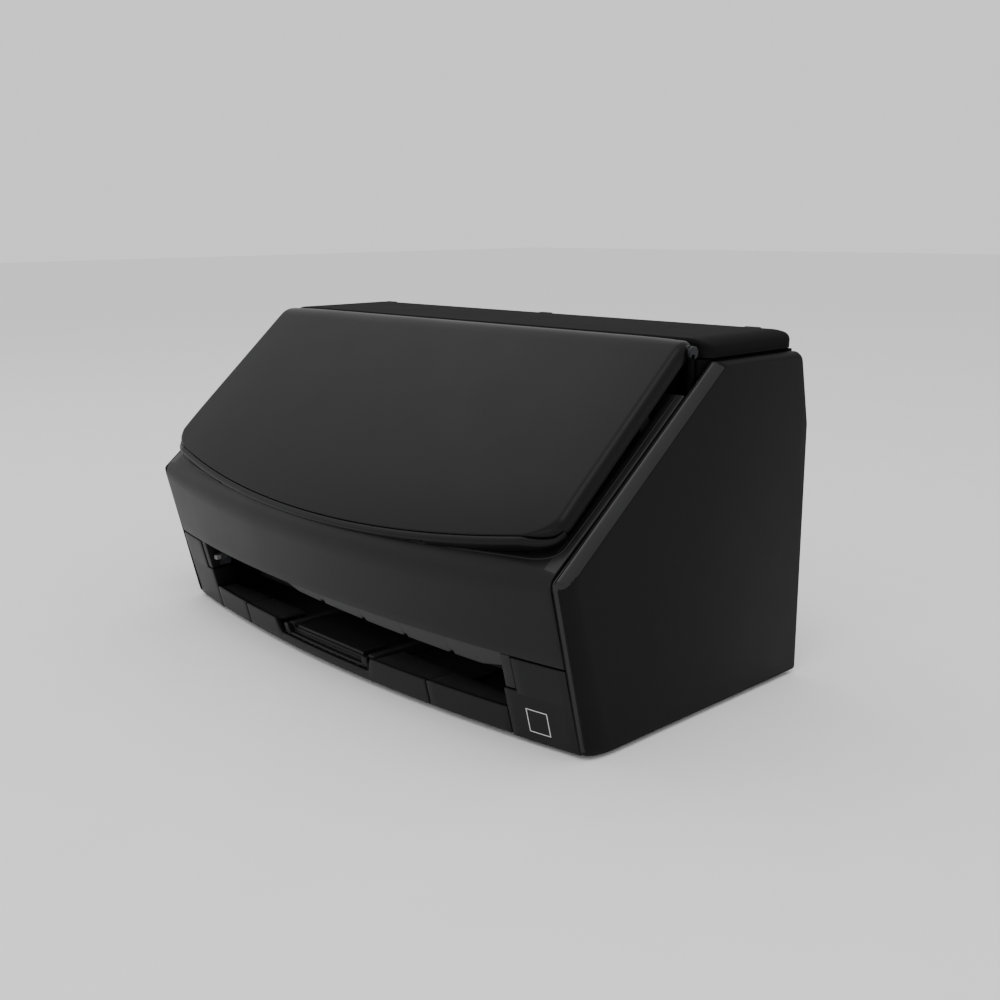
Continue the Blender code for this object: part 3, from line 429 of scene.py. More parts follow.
rings = [plan_ring(4.0, lambda x, y: 145.4), plan_ring(0.6, lambda x, y: 144.6)]
rings.append(plan_ring(0.1, lambda x, y: 144.8))
for k in range(9):
    a = math.pi / 2 * k / 8
    edge = 1.5 * (1 - math.sin(a))
    rings.append(plan_ring(1.5 * (1 - math.cos(a)), lambda x, y: max(145.0 + 0.02 * k, roof_z(x, y, edge))))
for inset in (2.2, 3.0, 4.0, 5.2, 6.5, 8.0, 10.0, 13.0, 17.0, 22.0, 26.0, 29.0):
    rings.append(plan_ring(inset, lambda x, y: roof_z(x, y, 0.0), radius=5.0))
roof = grid_mesh("top_cover_shell", rings, cap_start=True, cap_end=True, mat=ROOF, angle=40.0)
place(roof, "root", "housing_black", "top_rear_cover")
for k, x in enumerate((-131.0, -5.0, 120.0)):
    bump = block(f"roof_stop_{k}", x - 4.0, x + 4.0, 73.6, 76.4, 149.0, 151.9, mat=HOUSING)
    soften(bump, 0.7)
    place(bump, "root", "housing_black")


# ---------------------------------------------------------------- rear cover
outline = rounded([(HALF_DEPTH, 2.2), (HALF_DEPTH, REAR_KINK_Z), (REAR_TOP_Y, SIDE_TOP_Z),
                   (REAR_TOP_Y - 2.6, SIDE_TOP_Z), (HALF_DEPTH - 2.6, REAR_KINK_Z - 0.3),
                   (HALF_DEPTH - 2.6, 2.2)],
                  (0.8, 8.0, 0.8, 0.6, 5.5, 0.6), steps=8)
rings = [[(x, y, z) for y, z in outline] for x in np.linspace(-BODY_HALF, BODY_HALF, 3)]
rear = grid_mesh("rear_wall", rings,
                 cap_start=True, cap_end=True, mat=HOUSING)
cutters = []
for x in (-112.0, -90.0):
    cutters.append(block("cutter", x - 6.5, x + 6.5, 70, 90, 11.5, 24.5))
for row in range(9):
    for column in range(18):
        x = -20.0 + column * 6.4
        cutters.append(block("cutter", x - 2.3, x + 2.3, 79.3, 90, 84.0 - row * 4.4, 86.0 - row * 4.4))
carve(rear, cutters)
place(rear, "root", "housing_black", "rear_cover")


# ---------------------------------------------------------------- lid
def lid_profile():
    """Side curve of the lid's outside from the roll's end down the slope: points and lengths."""
    crest_y = LID_TOP[0] - (LID_TOP[1] - LID_CREST_Z) / math.tan(LID_SLOPE)
    corners = [lid_yz(60.0, 0.0), (crest_y, LID_CREST_Z), (12.1, LID_CREST_Z), (13.0, 148.9), (11.6, 145.5)]
    points = [lid_yz(s, 0.0) for s in np.linspace(130.0, 8.5, 120)]
    mid = rounded(corners + [(0.0, 100.0)], (1.0, 11.0, 1.4, 2.0, 1.0, 1.0), steps=12)
    points += mid[13:26] + mid[26:39] + mid[39:52] + [(11.7, 145.6)]
    points = np.array(points)[::-1]
    keep = [0]
    for i in range(1, len(points)):
        if np.linalg.norm(points[i] - points[keep[-1]]) > 0.02:
            keep.append(i)
    points = points[keep]
    lengths = np.concatenate([[0], np.cumsum(np.linalg.norm(np.diff(points, axis=0), axis=1))])
    return points, lengths


PROFILE, LENGTHS = lid_profile()
SLOPE_END = LENGTHS[-1]


def on_lid(x, a, w):
    """Point of the lid at x, length a along the side curve, depth w under its outside."""
    y = np.interp(a, LENGTHS, PROFILE[:, 0])
    z = np.interp(a, LENGTHS, PROFILE[:, 1])
    dy = np.interp(a + 0.4, LENGTHS, PROFILE[:, 0]) - np.interp(a - 0.4, LENGTHS, PROFILE[:, 0])
    dz = np.interp(a + 0.4, LENGTHS, PROFILE[:, 1]) - np.interp(a - 0.4, LENGTHS, PROFILE[:, 1])
    size = math.hypot(dy, dz) or 1.0
    return (x, y - dz / size * w, z + dy / size * w)


def a_of(s):
    """Length along the side curve at distance s down the slope."""
    return SLOPE_END - (130.0 - s)


def lid_edge(half, lip, corner=10.0, top_a=1.0, top_corner=9.5):
    """(x, a) outline of the lid seen from outside, about 420 points, starting at the top middle."""
    right = [(x, top_a) for x in np.linspace(0.0, half - top_corner, 34)]
    for k in range(1, 13):
        t = math.pi / 2 * k / 12
        right.append((half - top_corner + top_corner * math.sin(t), top_a + top_corner * (1 - math.cos(t))))
    join_x = 126.0 - (LID_HALF - half)
    low = lid_bottom(126.0) - lip
    side_a = a_of(low - 10.5)
    right += [(half, a) for a in np.linspace(top_a + top_corner + 1.0, side_a, 60)]
    lean = (lid_bottom(126.0) - lid_bottom(125.0))
    steps = 26
    p0, p3 = np.array((half, side_a)), np.array((join_x, a_of(low)))
    p1, p2 = p0 + (0, 6.2), p3 + np.array((1.0, lean)) * 5.2
    for k in range(1, steps + 1):
        t = k / steps
        near_start = (1 - t) ** 3 * p0 + 3 * (1 - t) ** 2 * t * p1
        right.append(tuple(near_start + 3 * (1 - t) * t * t * p2 + t ** 3 * p3))
    for x in np.linspace(join_x, 0.0, 80)[1:]:
        right.append((x, a_of(lid_bottom(min(126.0, x * 126.0 / join_x)) - lip)))
    left = [(-x, a) for x, a in right[1:-1]][::-1]
    return np.array(right + left)


def inset_ring(ring, d):
    """Ring moved inwards by d, one number or one for each point."""
    ahead, back = np.roll(ring, -1, axis=0), np.roll(ring, 1, axis=0)
    tangent = ahead - back
    tangent /= np.linalg.norm(tangent, axis=1)[:, None]
    inward = np.stack([-tangent[:, 1], tangent[:, 0]], axis=1)
    middle = ring.mean(axis=0)
    if ((middle - ring) * inward).sum() < 0:
        inward = -inward
    return ring + inward * np.reshape(np.broadcast_to(d, len(ring)), (-1, 1))


def crown(x, a):
    """How far the broad face falls away near the lid's edges."""
    side = max(0.0, 1.0 - (LID_HALF - abs(x)) / 34.0)
    low = max(0.0, 1.0 - (a_of(lid_bottom(min(126.0, abs(x))) - LID_LIP) - a) / 30.0)
    return 0.6 * side ** 2.2 + 0.9 * low ** 2.4


EDGE = lid_edge(LID_HALF, LID_LIP)


def edge_radius(x, a):
    """Full round at the sides and the top, nearly square along the groove at the bottom."""
    low = min(1.0, max(0.0, (a - a_of(88.0)) / 9.0))
    centre = min(1.0, max(0.0, (LID_HALF - 2.0 - abs(x)) / 12.0))
    return 3.7 - 3.2 * low * centre


def skirt(x, a, w):
    """Depth w of the lid's edge, less where the extension slides out under it."""
    return min(w, 2.2 + 0.1 * w) if abs(x) < 77.5 and a > a_of(100.0) else w


radii = np.array([edge_radius(x, a) for x, a in EDGE])
rings = []
for d, w in ((2.6, 6.9), (0.6, 6.9), (0.12, 6.4), (0.0, 5.9)):
    rings.append([on_lid(x, a, skirt(x, a, w)) for x, a in inset_ring(EDGE, d)])
for k in range(0, 15):
    t = math.pi / 2 * k / 14
    ring = inset_ring(EDGE, radii * (1 - math.cos(t)))
    rings.append([on_lid(x, a, r * (1 - math.sin(t)) + crown(x, a)) for (x, a), r in zip(ring, radii)])
last = inset_ring(EDGE, radii)
spine_a = (last[:, 1].min() + last[:, 1].max()) / 2
for k in range(1, 34):
    f = 1.0 - (k / 34.0) ** 1.15
    ring = np.stack([last[:, 0] * (0.58 + 0.42 * f), spine_a + (last[:, 1] - spine_a) * f], axis=1)
    rings.append([on_lid(x, a, crown(x, a)) for x, a in ring])
lid_shell = grid_mesh("lid_cover", rings, cap_start=False, cap_end=True, mat=LID, angle=50.0)
place(lid_shell, "lid", "lid_black", "lid_outer_shell")


# inner shell: flat liner, and the lip that shows as a strip under the groove
def flat_prism(name, outline, w0, w1, mat, bevel=0.0):
    rings = []
    levels = [(w0, 0.0), (w1, 0.0)] if not bevel else [(w0, bevel), (w0 + 0.3 * bevel, 0.3 * bevel),
                                                     (w0 + bevel, 0.0), (w1 - bevel, 0.0),
                                                     (w1 - 0.3 * bevel, 0.3 * bevel), (w1, bevel)]
    for w, inset in levels:
        ring = inset_ring(outline, inset) if inset else outline
        rings.append([(x, *lid_yz(s, w)) for x, s in ring])
    return grid_mesh(name, rings, cap_start=True, cap_end=True, mat=mat)


def liner_outline(half, lip, top_s):
    edge = lid_edge(half, lip, top_a=a_of(top_s), top_corner=2.0)
    return np.stack([edge[:, 0], edge[:, 1] - SLOPE_END + 130.0], axis=1)


def slab(name, x0, x1, s0, s1, w0, w1):
    rings = [[(x, *lid_yz(s, w)) for x, s in ((x0, s0), (x1, s0), (x1, s1), (x0, s1))] for w in (w0, w1)]
    return grid_mesh(name, rings, cap_start=True, cap_end=True)


liner = flat_prism("lid_liner", liner_outline(135.4, LID_LIP + 0.4, 9.8), 5.4, 7.0, GREY, bevel=0.35)
slot_a, slot_b = 39.0 - 7.4, 39.0 + 7.4
carve(liner, [slab("cutter", -113.5, -22.0, slot_a - 1.4, slot_a + 1.4, 0.0, 10.0),
              slab("cutter", 22.0, 113.5, slot_b - 1.4, slot_b + 1.4, 0.0, 10.0)])
place(liner, "lid", "frame_grey", "lid_inner_shell")
stud = lathe("liner_stud", (0, 0), [(-1.5, 1.8), (1.4, 1.8), (1.6, 1.6)], GREY, axis="z", segments=32)
stud_place = Vector((0, *lid_yz(39.0, 4.3))) * MM
stud.matrix_world = Matrix.Translation(stud_place) @ Matrix.Rotation(LID_SLOPE, 4, "X")
place(stud, "lid", "frame_grey")

# the lip follows the bowed bottom edge and thins out round the corners
outer = lid_edge(LID_HALF, 0.0)
outer = inset_ring(outer, 0.05)
near = [i for i in range(len(outer)) if outer[i][1] > a_of(80.0)]
inward_at = inset_ring(outer, 1.0) - outer
rings = []
for i in near:
    gap = np.min(np.linalg.norm(EDGE - outer[i], axis=1))
    depth = gap - 0.32
    if depth < 0.45:
        continue
    shape = []
    high = depth
    top_w = crown(*outer[i]) + edge_radius(*outer[i]) - 0.5
    r = min(1.7, depth * 0.75)
    shape.append((high, 6.9))
    shape.append((high, top_w + 0.35))
    shape.append((high - 0.12, top_w + 0.1))
    shape.append((high - 0.3 * min(1.0, depth), top_w + 0.02))
    for k in range(0, 8):
        t = math.pi / 2 * (1 - k / 7)
        shape.append((r * (1 - math.sin(math.pi / 2 - t)), top_w + r * (1 - math.cos(math.pi / 2 - t))))
    shape.append((0.0, 6.5))
    shape.append((0.35, 6.9))
    shape = [(d, skirt(*outer[i], w) if w > 2.6 else w) for d, w in shape]
    rings.append([on_lid(*(outer[i] + inward_at[i] * d), w) for d, w in shape])
lip = grid_mesh("lid_lip", rings, cap_start=True, cap_end=True, mat=LID, angle=45.0)
place(lip, "lid", "lid_black")

# bowed front edge of the extension, flush in the slot under the lip
rings = []
for x in np.linspace(-75.0, 75.0, 101):
    s_end = lid_bottom(abs(x)) - 0.5
    rings.append([(x, *lid_yz(s, w)) for s, w in ((111.3, 3.15), (s_end - 0.4, 3.15), (s_end, 3.5),
                                                  (s_end, 4.7), (s_end - 0.4, 5.05), (111.3, 5.05))])
nose = grid_mesh("extension_nose", rings, cap_start=True, cap_end=True, mat=LID, angle=45.0)
place(nose, "chute_extension", "frame_grey")


# ---------------------------------------------------------------- top section
def nose_radius(x):
    return 16.0 - 9.0 * (abs(x) / BODY_HALF) ** 4


def section_ring(x, end=0.0):
    slope = (-40.0, slope_z(-40.0))
    corner = (front_y(x, NOSE_Z), NOSE_Z + 0.25)
    foot = (front_y(x, 38.1), 38.1)
    steps = 20
    radius = nose_radius(x)
    curve = rounded([slope, corner, foot], (0.1, radius, 0.1), steps=steps)[steps + 1:2 * (steps + 1)]
    # a soft crease where the nose turns into the front face
    ring = [(3.5, slope_z(3.5)), (-12.0, slope_z(-12.0)), (-26.0, slope_z(-26.0)), slope] + curve
    z_low = curve[-1][1]
    for k in range(1, 7):
        z = z_low + (38.9 - z_low) * k / 6
        ring.append((front_y(x, z), z))
    ring += [(front_y(x, 38.4) + 0.2, 38.3), (front_y(x, 38.1) + 0.8, 38.1), (foot[0] + 2.6, 38.1),
             (front_y(x, 58.0) + 2.6, 58.0)]
    inner_y = front_y(x, 66.0) + 6.0
    inner_w = 10.6
    inner_s = (LID_TOP[0] + inner_w * math.sin(LID_SLOPE) - inner_y) / math.cos(LID_SLOPE)
    ring += [lid_yz(inner_s, inner_w), (-40.0, slope_z(-40.0) - 3.4), (5.6, 129.2)]
    if end:
        middle = np.mean(ring, axis=0)
        moved = []
        for k, (y, z) in enumerate(ring):
            if k < len(ring) - 5:
                ahead = np.array(ring[min(k + 1, len(ring) - 1)]) - np.array(ring[max(k - 1, 0)])
                ahead /= np.linalg.norm(ahead)
                normal = np.array((-ahead[1], ahead[0]))
                if normal @ (middle - (y, z)) < 0:
                    normal = -normal
                y, z = np.array((y, z)) + normal * end
            moved.append((y, z))
        ring = moved
    return [(x, y, z) for y, z in ring]


stations = list(np.linspace(-139.6, 139.6, 121))
rings = [section_ring(-140.4, 0.55), section_ring(-140.3, 0.22), section_ring(-140.05, 0.05)]
rings += [section_ring(x) for x in stations]
rings += [section_ring(140.05, 0.05), section_ring(140.3, 0.22), section_ring(140.4, 0.55)]
section = grid_mesh("top_section_skin", rings, cap_start=True, cap_end=True, mat=HOUSING, angle=38.0)


def slope_disc(name, x, y, radius, low, high, segments=64):
    angle = math.atan2(SIDE_TOP_Z - NOSE_Z, SIDE_TOP_FRONT_Y - NOSE_SIDE_Y)
    rings = []
    for h in (low, high):
        ring = []
        for k in range(segments):
            t = 2 * math.pi * k / segments
            u, v = radius * math.cos(t), radius * math.sin(t)
            ring.append((x + u, y + v * math.cos(angle) - h * math.sin(angle),
                         slope_z(y) + v * math.sin(angle) + h * math.cos(angle)))
        rings.append(ring)
    return grid_mesh(name, rings, cap_start=True, cap_end=True)


carve(section, [block("cutter", -121.8, 121.8, -25.0, 20.0, 95.0, 150.0),
                slope_disc("cutter", 98.0, -38.0, 8.3, -8.0, 8.0),
                block("cutter", 126.0, 133.5, -19.0, -3.0, 105.0, 135.0)], angle=38.0)
# flat faces near the sides that face up the slope take the lighter copy: painted light
section.data.materials.append(LEDGE_PAINTED_LIGHT)
seat_normal = Vector((0, -math.sin(LID_SLOPE), math.cos(LID_SLOPE)))
for face in section.data.polygons:
    if abs(face.center.x) > 134.5 * MM and face.center.y > -62.0 * MM and face.normal @ seat_normal > 0.9:
        face.material_index = 1
place(section, "root", "housing_black", "top_section_cover")

# thin bead round the lid's seat
seat = lid_edge(137.0, LID_LIP - 4.6, top_a=a_of(9.0), top_corner=2.0)
seat = np.stack([seat[:, 0], seat[:, 1] - SLOPE_END + 130.0], axis=1)
rings = []
for i, (x, s) in enumerate(seat):
    if s <= 14.0:
        continue
    y = lid_yz(s, 7.9)[0]
    nose = section_ring(min(139.0, max(-139.0, x)))
    ys = np.array([p[1] for p in nose[:24]])[::-1]
    zs = np.array([p[2] for p in nose[:24]])[::-1]
    z = float(np.interp(y, ys, zs))
    if y < ys[0] + 2.0:
        continue
    around = seat[(i + 1) % len(seat)] - seat[i - 1]
    around /= np.linalg.norm(around)
    across = np.array((around[1], -around[0]))
    ring = []
    for k in range(8):
        t = 2 * math.pi * k / 8
        u, v = 0.42 * math.cos(t), 0.3 * math.sin(t)
        ring.append((x + across[0] * u, y - across[1] * u * math.cos(LID_SLOPE),
                     z - across[1] * u * math.sin(LID_SLOPE) + v))
    rings.append(ring)
bead = grid_mesh("lid_seat_bead", rings, cap_start=True, cap_end=True, mat=HOUSING, angle=60.0)
place(bead, "root", "housing_black")


# ---------------------------------------------------------------- bowed front pieces
def bowed(name, x0, x1, shape_at, mat, step=3.0, body="root", slot="housing_black", nodes=(),
          end=0.5, angle=35.0):
    """Lofts shape_at(x) -> (y, z) polygon from x0 to x1, ends chamfered a little."""
    count = max(3, int((x1 - x0) / step))
    rings = []
    between = list(np.linspace(x0 + end, x1 - end, count))[1:-1]
    for x in [x0, x0 + 0.3 * end, x0 + end] + between + [x1 - end, x1 - 0.3 * end, x1]:
        shrink = 0.0
        for edge in (x - x0, x1 - x):
            if edge < end:
                shrink = max(shrink, end - math.sqrt(max(0.0, end * end - (end - edge) ** 2)))
        shape = shape_at(x)
        corners = [p[:2] for p in shape]
        if shrink:
            corners = inset_polygon(corners, [shrink] * len(shape))
        outline = rounded(corners, [max(0.02, p[2] - shrink) for p in shape], steps=5)
        rings.append([(x, y, z) for y, z in outline])
    obj = grid_mesh(name, rings, cap_start=True, cap_end=True, mat=mat, angle=angle)
    place(obj, body, slot, *nodes)
    return obj


for sign, side in ((-1, "left"), (1, "right")):
    def lower(x):
        return [(front_y(x, 1.5), 1.5, 1.0), (front_y(x, 23.0), 23.0, 0.6),
                (-49.3, 23.0, 0.6), (-49.3, 1.5, 0.6)]

    def upper(x):
        return [(front_y(x, 22.0), 22.0, 0.3), (front_y(x, 37.4), 37.4, 0.6),
                (-49.3, 37.4, 0.6), (-49.3, 22.0, 0.3)]
    a, b = sorted((sign * 109.5, sign * 140.4))
    bowed(f"{side}_front_block_low", a, b, lower, HOUSING, nodes=(f"{side}_front_block",))
    a, b = sorted((sign * 115.7, sign * 140.4))
    bowed(f"{side}_front_block_high", a, b, upper, HOUSING)

    def arm(x):
        return [(front_y(x, 23.6) + 0.5, 23.6, 0.5), (front_y(x, 37.9) + 0.5, 37.9, 0.3),
                (-58.0, 37.9, 0.3), (-58.0, 23.6, 0.5)]
    a, b = sorted((sign * 110.2, sign * 115.1))
    bowed(f"{side}_pivot_arm_cover", a, b, arm, DEEP)


def sill(x):
    return [(front_y(x, 2.2), 2.2, 0.8), (front_y(x, 14.0), 14.0, 0.8), (front_y(x, 14.0) + 2.5, 14.0, 0.6),
            (front_y(x, 4.6) + 2.5, 4.6, 0.3), (-50.0, 4.6, 0.3), (-50.0, 2.2, 0.3)]


bowed("sill_left", -109.0, -75.3, sill, HOUSING, nodes=("base_tray",))
bowed("sill_right", 65.5, 109.0, sill, HOUSING)
for k, (a, b) in enumerate(((-109.0, -75.3), (65.5, 109.0))):
    def base_shelf(x):
        return [(front_y(x, 13.0) + 2.0, 12.4, 0.4), (front_y(x, 13.0) + 2.0, 13.6, 0.4),
                (-49.2, 12.8, 0.4), (-49.2, 11.6, 0.4)]
    bowed(f"sill_shelf_{k}", a, b, base_shelf, TRAY)
floor_plate = block("base_floor", -140.2, 140.2, -49.0, 77.6, 2.2, 4.6, mat=TRAY)
soften(floor_plate, 0.4)
place(floor_plate, "root", "housing_black")


def tray_front(x, low, high, inset=0.0):
    return [(front_y(x, low) + inset, low, 0.8), (front_y(x, high) + inset, high, 0.8),
            (front_y(x, high) + inset + 2.4, high, 0.5), (front_y(x, low) + inset + 2.4, low, 0.3)]


def notch_top(x):
    """Height of the drawer front: full, dipping in an S to the finger notch."""
    low, full = 6.9, 13.9
    u = min(x + 45.5, 30.5 - x)
    if u < 0:
        return full
    t = min(1.0, u / 4.0)
    return full + (low - full) * t * t * (3 - 2 * t)


bowed("drawer_front_1", -74.6, 64.8, lambda x: tray_front(x, 2.2, notch_top(x)), HOUSING, step=1.0,
      body="stacker_stage_1", nodes=("stacker_stage_1",))
tray = block("drawer_floor_1", -74.6, 64.8, -60.0, 42.0, 5.2, 6.8, mat=TRAY)
soften(tray, 0.3)
place(tray, "stacker_stage_1", "housing_black")
for k, (a, b) in enumerate(((-74.6, -45.6), (30.6, 64.8))):
    def shelf(x):
        return [(front_y(x, 13.0) + 2.0, 11.9, 0.4), (front_y(x, 13.0) + 2.0, 13.4, 0.4),
                (-49.0, 12.6, 0.4), (-49.0, 11.2, 0.4)]
    bowed(f"drawer_shelf_{k}", a, b, shelf, TRAY, body="stacker_stage_1")


def drawer_front_2(x):
    """Cut down in the middle, where the third stage slides out over it."""
    return tray_front(x, 7.3, 8.6 if -36.9 < x < 21.9 else 12.6, 1.6)


bowed("drawer_front_2", -40.5, 25.5, drawer_front_2, HOUSING, step=1.0,
      body="stacker_stage_2", nodes=("stacker_stage_2",))
tray = block("drawer_floor_2", -40.5, 25.5, -62.0, 36.0, 7.3, 8.7, mat=TRAY)
soften(tray, 0.3)
place(tray, "stacker_stage_2", "housing_black")
for k, (a, b) in enumerate(((-40.5, -36.9), (21.9, 25.5))):
    rail = block(f"drawer_rail_{k}", a, b, -62.0, 36.0, 8.6, 12.2, mat=TRAY)
    soften(rail, 0.4)
    place(rail, "stacker_stage_2", "housing_black")


# drop lip that guides the sheets down, hanging behind the top section's lower edge
def lip_low(x):
    marks = ((-140.0, 37.0), (-31.0, 35.5), (-21.5, 32.8), (96.0, 28.6), (109.2, 31.0))
    return float(np.interp(x, [m[0] for m in marks], [m[1] for m in marks]))


def hanging(x):
    low = lip_low(x)
    for rib in (-2.0, 27.0, 54.0, 80.0):
        if abs(x - rib) < 1.3:
            low += 1.2
    return [(front_y(x, low) + 4.6, low, 0.3), (front_y(x, 38.5) + 2.7, 39.2, 0.2),
            (front_y(x, 38.5) + 4.6, 39.2, 0.2), (front_y(x, low) + 6.2, low, 0.3)]


bowed("exit_lip", -SLOT_HALF, SLOT_HALF, hanging, TRAY, step=0.8, end=0.3)

peg = block("slot_peg", -109.6, -106.9, -61.5, -58.6, 28.4, 30.8, mat=PEG)
soften(peg, 0.5)
place(peg, "root", "gear_white")

# the label place on the right block: plain outlined square, no print in it
LABEL = (118.6, 128.4, 6.2, 16.4)


def label_bar(name, x0, x1, z0, z1):
    rings = []
    for x in np.linspace(x0, x1, 6):
        rings.append([(x, front_y(x, z0) - 0.02, z0), (x, front_y(x, z1) - 0.02, z1),
                      (x, front_y(x, z1) + 0.3, z1), (x, front_y(x, z0) + 0.3, z0)])
    bar = grid_mesh(name, rings, cap_start=True, cap_end=True, mat=PRINT)
    place(bar, "root", "housing_black")


x0, x1, z0, z1 = LABEL
label_bar("label_frame_low", x0, x1, z0, z0 + 0.35)
label_bar("label_frame_high", x0, x1, z1 - 0.35, z1)
label_bar("label_frame_left", x0, x0 + 0.35, z0, z1)
label_bar("label_frame_right", x1 - 0.35, x1, z0, z1)


# ---------------------------------------------------------------- rollers
def tyre(name, centre, x0, x1, radius, body, node):
    profile = [(x0, 3.2), (x0, radius - 0.5), (x0 + 0.5, radius)]
    count = int((x1 - x0 - 1.6) / 1.1)
    for k in range(count):
        x = x0 + 0.8 + k * 1.1
        profile += [(x, radius), (x + 0.15, radius - 0.35), (x + 0.45, radius - 0.35), (x + 0.6, radius)]
    profile += [(x1 - 0.5, radius), (x1, radius - 0.5), (x1, 3.2)]
    obj = lathe(name, centre, profile, RUBBER)
    place(obj, body, "roller_rubber", node)


for role, t in (("pick", PICK_T), ("feed", FEED_T), ("eject", EJECT_T)):
    centre = path_yz(t, -8.2)
    low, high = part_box(f"{role}_shaft")
    a, b = low.x / MM, high.x / MM
    rod = lathe(f"{role}_axle", centre, [(a, 2.6), (a + 0.4, 3.0), (b - 0.4, 3.0), (b, 2.6)], STEEL)
    place(rod, f"{role}_roller", "shaft_steel", f"{role}_shaft")
    for node in [n for n in cad if n.startswith(f"{role}_tyre")]:
        low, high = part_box(node)
        tyre(node.replace("tyre", "rubber"), centre, low.x / MM, high.x / MM, 8.0, f"{role}_roller", node)

for node, t, off, radius in (("brake_roller", PICK_T, 4.6, 4.4), ("feed_idler_roller", FEED_T, 5.2, 5.0),
                             ("eject_idler_roller", EJECT_T, 5.2, 5.0)):
    spans = ((-22.0, 22.0),) if node == "brake_roller" else ((-65.0, -45.0), (45.0, 65.0))
    profile = [(-118.4, 1.4), (-118.2, 1.6)]
    for a, b in spans:
        profile += [(a, 1.6), (a, radius - 0.4), (a + 0.4, radius),
                    (b - 0.4, radius), (b, radius - 0.4), (b, 1.6)]
    profile += [(118.2, 1.6), (118.4, 1.4)]
    roller = lathe(f"{node}_turned", path_yz(t, off), profile, WHITE)
    place(roller, node, "gear_white", node)


# ---------------------------------------------------------------- hinge brackets
for sign, side in ((-1, "left"), (1, "right")):
    a, b = sorted((sign * 138.5, sign * 140.2))
    profile = [(a, 2.2), (a + 0.3, 2.6), (b - 0.3, 2.6), (b, 2.2)]
    knuckle = lathe(f"hinge_knuckle_{side}", (9.4, 147.2), profile, KNUCKLE)
    place(knuckle, "root", "frame_grey", f"lid_hinge_bracket_{side}")
    # post and ledge take the near-black copy: painted shade
    post = block(f"hinge_post_{side}", a, b, 7.4, 9.8, 119.0, 147.0, mat=SHADOW)
    soften(post, 0.3)
    place(post, "root", "frame_grey")
    a, b = sorted((sign * 124.7, sign * 140.2))
    ledge = block(f"hinge_ledge_{side}", a, b, 7.6, 19.0, 118.0, 121.0, mat=SHADOW)
    soften(ledge, 0.3)
    place(ledge, "root", "frame_grey")
    a, b = sorted((sign * 129.6, sign * 138.7))
    pin = lathe(f"hinge_pin_{side}", HINGE, [(a, 1.0), (a + 0.3, 1.3), (b - 0.3, 1.3), (b, 1.0)], KNUCKLE)
    place(pin, "root", "frame_grey")


# dark strips that close the joint between the roof and the side panels, coloured as painted shade
for sign, side in ((-1, "left"), (1, "right")):
    a, b = sorted((sign * 138.7, sign * 140.8))
    strip = block(f"roof_joint_{side}", a, b, 10.8, 74.0, 138.0, 144.2, mat=SHADOW)
    place(strip, "root", "housing_black")


# ---------------------------------------------------------------- feet, button
for node in ("foot_front_left", "foot_front_right", "foot_rear_left", "foot_rear_right"):
    low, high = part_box(node)
    middle = ((low.x + high.x) / 2 / MM, (low.y + high.y) / 2 / MM)
    foot = lathe(node.replace("foot", "pad"), middle,
                 [(0.0, 6.0), (0.08, 6.4), (0.3, 6.75), (0.7, 6.95), (1.9, 7.0)], FOOT, axis="z")
    place(foot, "root", "foot_rubber", node)

tilt = math.atan2(SIDE_TOP_Z - NOSE_Z, SIDE_TOP_FRONT_Y - NOSE_SIDE_Y)
dished = [(-4.2, 7.9), (-0.1, 8.0), (0.25, 7.85), (0.5, 7.4), (0.6, 6.8), (0.45, 5.0), (0.3, 0.1)]
cap = lathe("button_cap", (0, 0), dished,
            BLUE, axis="z")
cap_place = Vector((98.0, -38.0, slope_z(-38.0))) * MM
cap.matrix_world = Matrix.Translation(cap_place) @ Matrix.Rotation(tilt, 4, "X")
place(cap, "scan_button", "button_blue", "scan_button")


# ---------------------------------------------------------------- CAD nodes that show as they are
SLOT_MATERIAL = {"housing_black": HOUSING, "lid_black": LID, "frame_grey": GREY, "gear_white": WHITE,
                 "shaft_steel": STEEL, "roller_rubber": RUBBER, "foot_rubber": FOOT, "scan_glass": GLASS,
                 "board_green": BOARD, "button_blue": BLUE}
for part in frame["record"]["subparts"]:
    node = cad[part["node"]]
    node.data.materials.clear()
    node.data.materials.append(SLOT_MATERIAL[part["material_slot"]])
    thick = min(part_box(part["node"])[1][k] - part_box(part["node"])[0][k] for k in range(3)) / MM
    soften(node, 0.12 if part["material_slot"] == "gear_white" else min(0.35, thick * 0.12))
for name in ("exit_guide", "left_frame_plate", "right_frame_plate", "cover_open_lever"):
    cad[name].data.materials[0] = DEEP


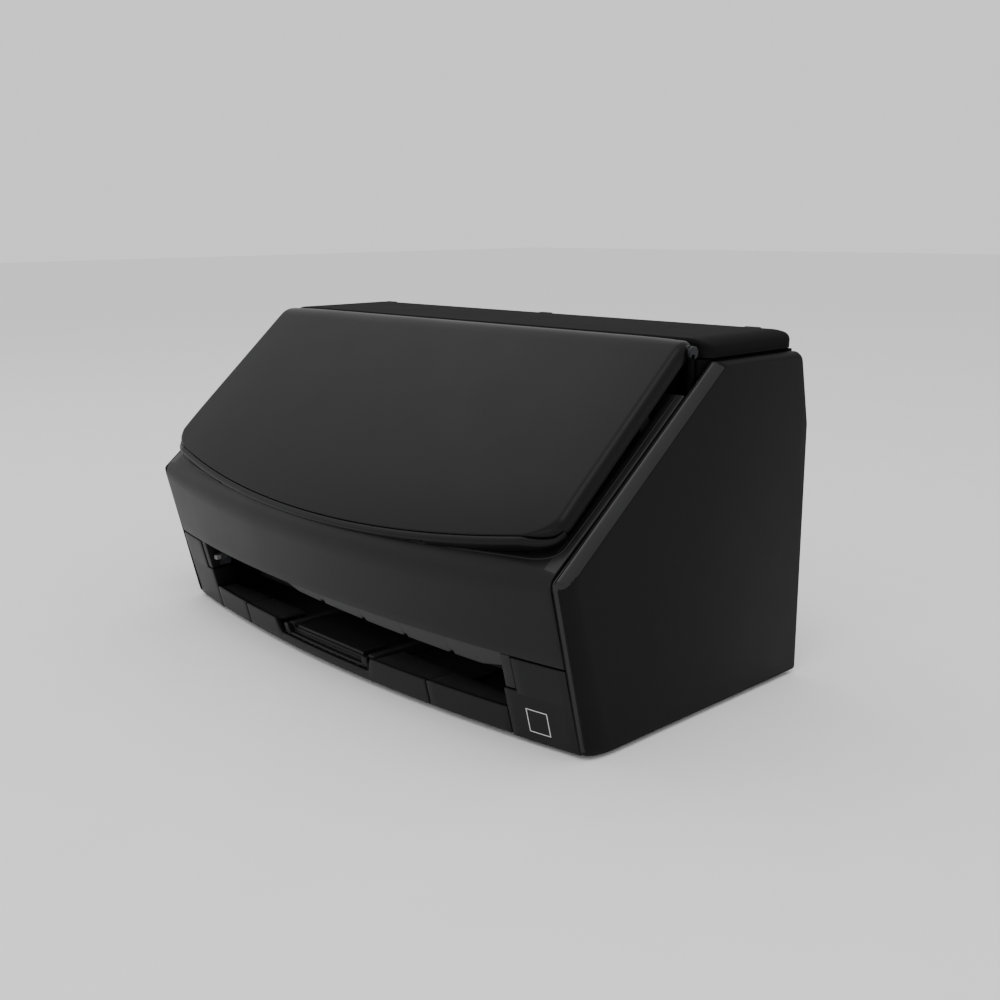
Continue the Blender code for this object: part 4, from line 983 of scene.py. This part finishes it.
# ---------------------------------------------------------------- stage, light, camera
floor = finish_mesh("floor", [(-6, -6, 0), (6, -6, 0), (6, 6, 0), (-6, 6, 0)], [(0, 1, 2, 3)], None, 30)
floor_mat = plastic("floor paint", (0.86, 0.86, 0.86), (0.88, 0.88, 0.88), 0.85,
                    grain=60.0, bump=0.01, wear=0.0)
floor.data.materials.append(floor_mat)

world = bpy.data.worlds.new("studio")
world.use_nodes = True
world.node_tree.nodes["Background"].inputs["Color"].default_value = (1.0, 1.0, 1.0, 1)
world.node_tree.nodes["Background"].inputs["Strength"].default_value = 1.0
bpy.context.scene.world = world


def area_light(name, where, target, size, watts):
    data = bpy.data.lights.new(name, "AREA")
    data.shape = "RECTANGLE"
    data.size, data.size_y = size
    data.energy = watts
    light = bpy.data.objects.new(name, data)
    bpy.context.scene.collection.objects.link(light)
    light.location = where
    light.rotation_euler = (Vector(target) - Vector(where)).to_track_quat("-Z", "Y").to_euler()


area_light("upper left soft box", (-0.72, -0.12, 1.15), (0.05, 0, 0.1), (0.7, 0.7), 1.8)
area_light("overhead soft box", (0.4, -0.35, 1.2), (0, 0, 0.1), (0.6, 0.6), 5.0)
area_light("low left card", (-1.15, -0.85, 0.55), (0, -0.05, 0.08), (0.7, 0.3), 1.2)
area_light("front card", (0.3, -1.5, 0.35), (0, 0, 0.05), (0.9, 0.5), 2.5)

yaw, pitch, roll = math.radians(-47.11), math.radians(-13.31), math.radians(-0.45)
ahead = Vector((math.sin(yaw) * math.cos(pitch), math.cos(yaw) * math.cos(pitch), math.sin(pitch)))
level = Vector((math.cos(yaw), -math.sin(yaw), 0))
upright = level.cross(ahead)
right = level * math.cos(roll) + upright * math.sin(roll)
up = right.cross(ahead)
lens = bpy.data.cameras.new("camera")
lens.sensor_width = 36.0
lens.lens = 42.5
lens.clip_start = 0.01
camera = bpy.data.objects.new("camera", lens)
bpy.context.scene.collection.objects.link(camera)
camera.matrix_world = Matrix((
    (right.x, up.x, -ahead.x, 0.4193), (right.y, up.y, -ahead.y, -0.3516),
    (right.z, up.z, -ahead.z, 0.1969), (0, 0, 0, 1)))
bpy.context.scene.camera = camera
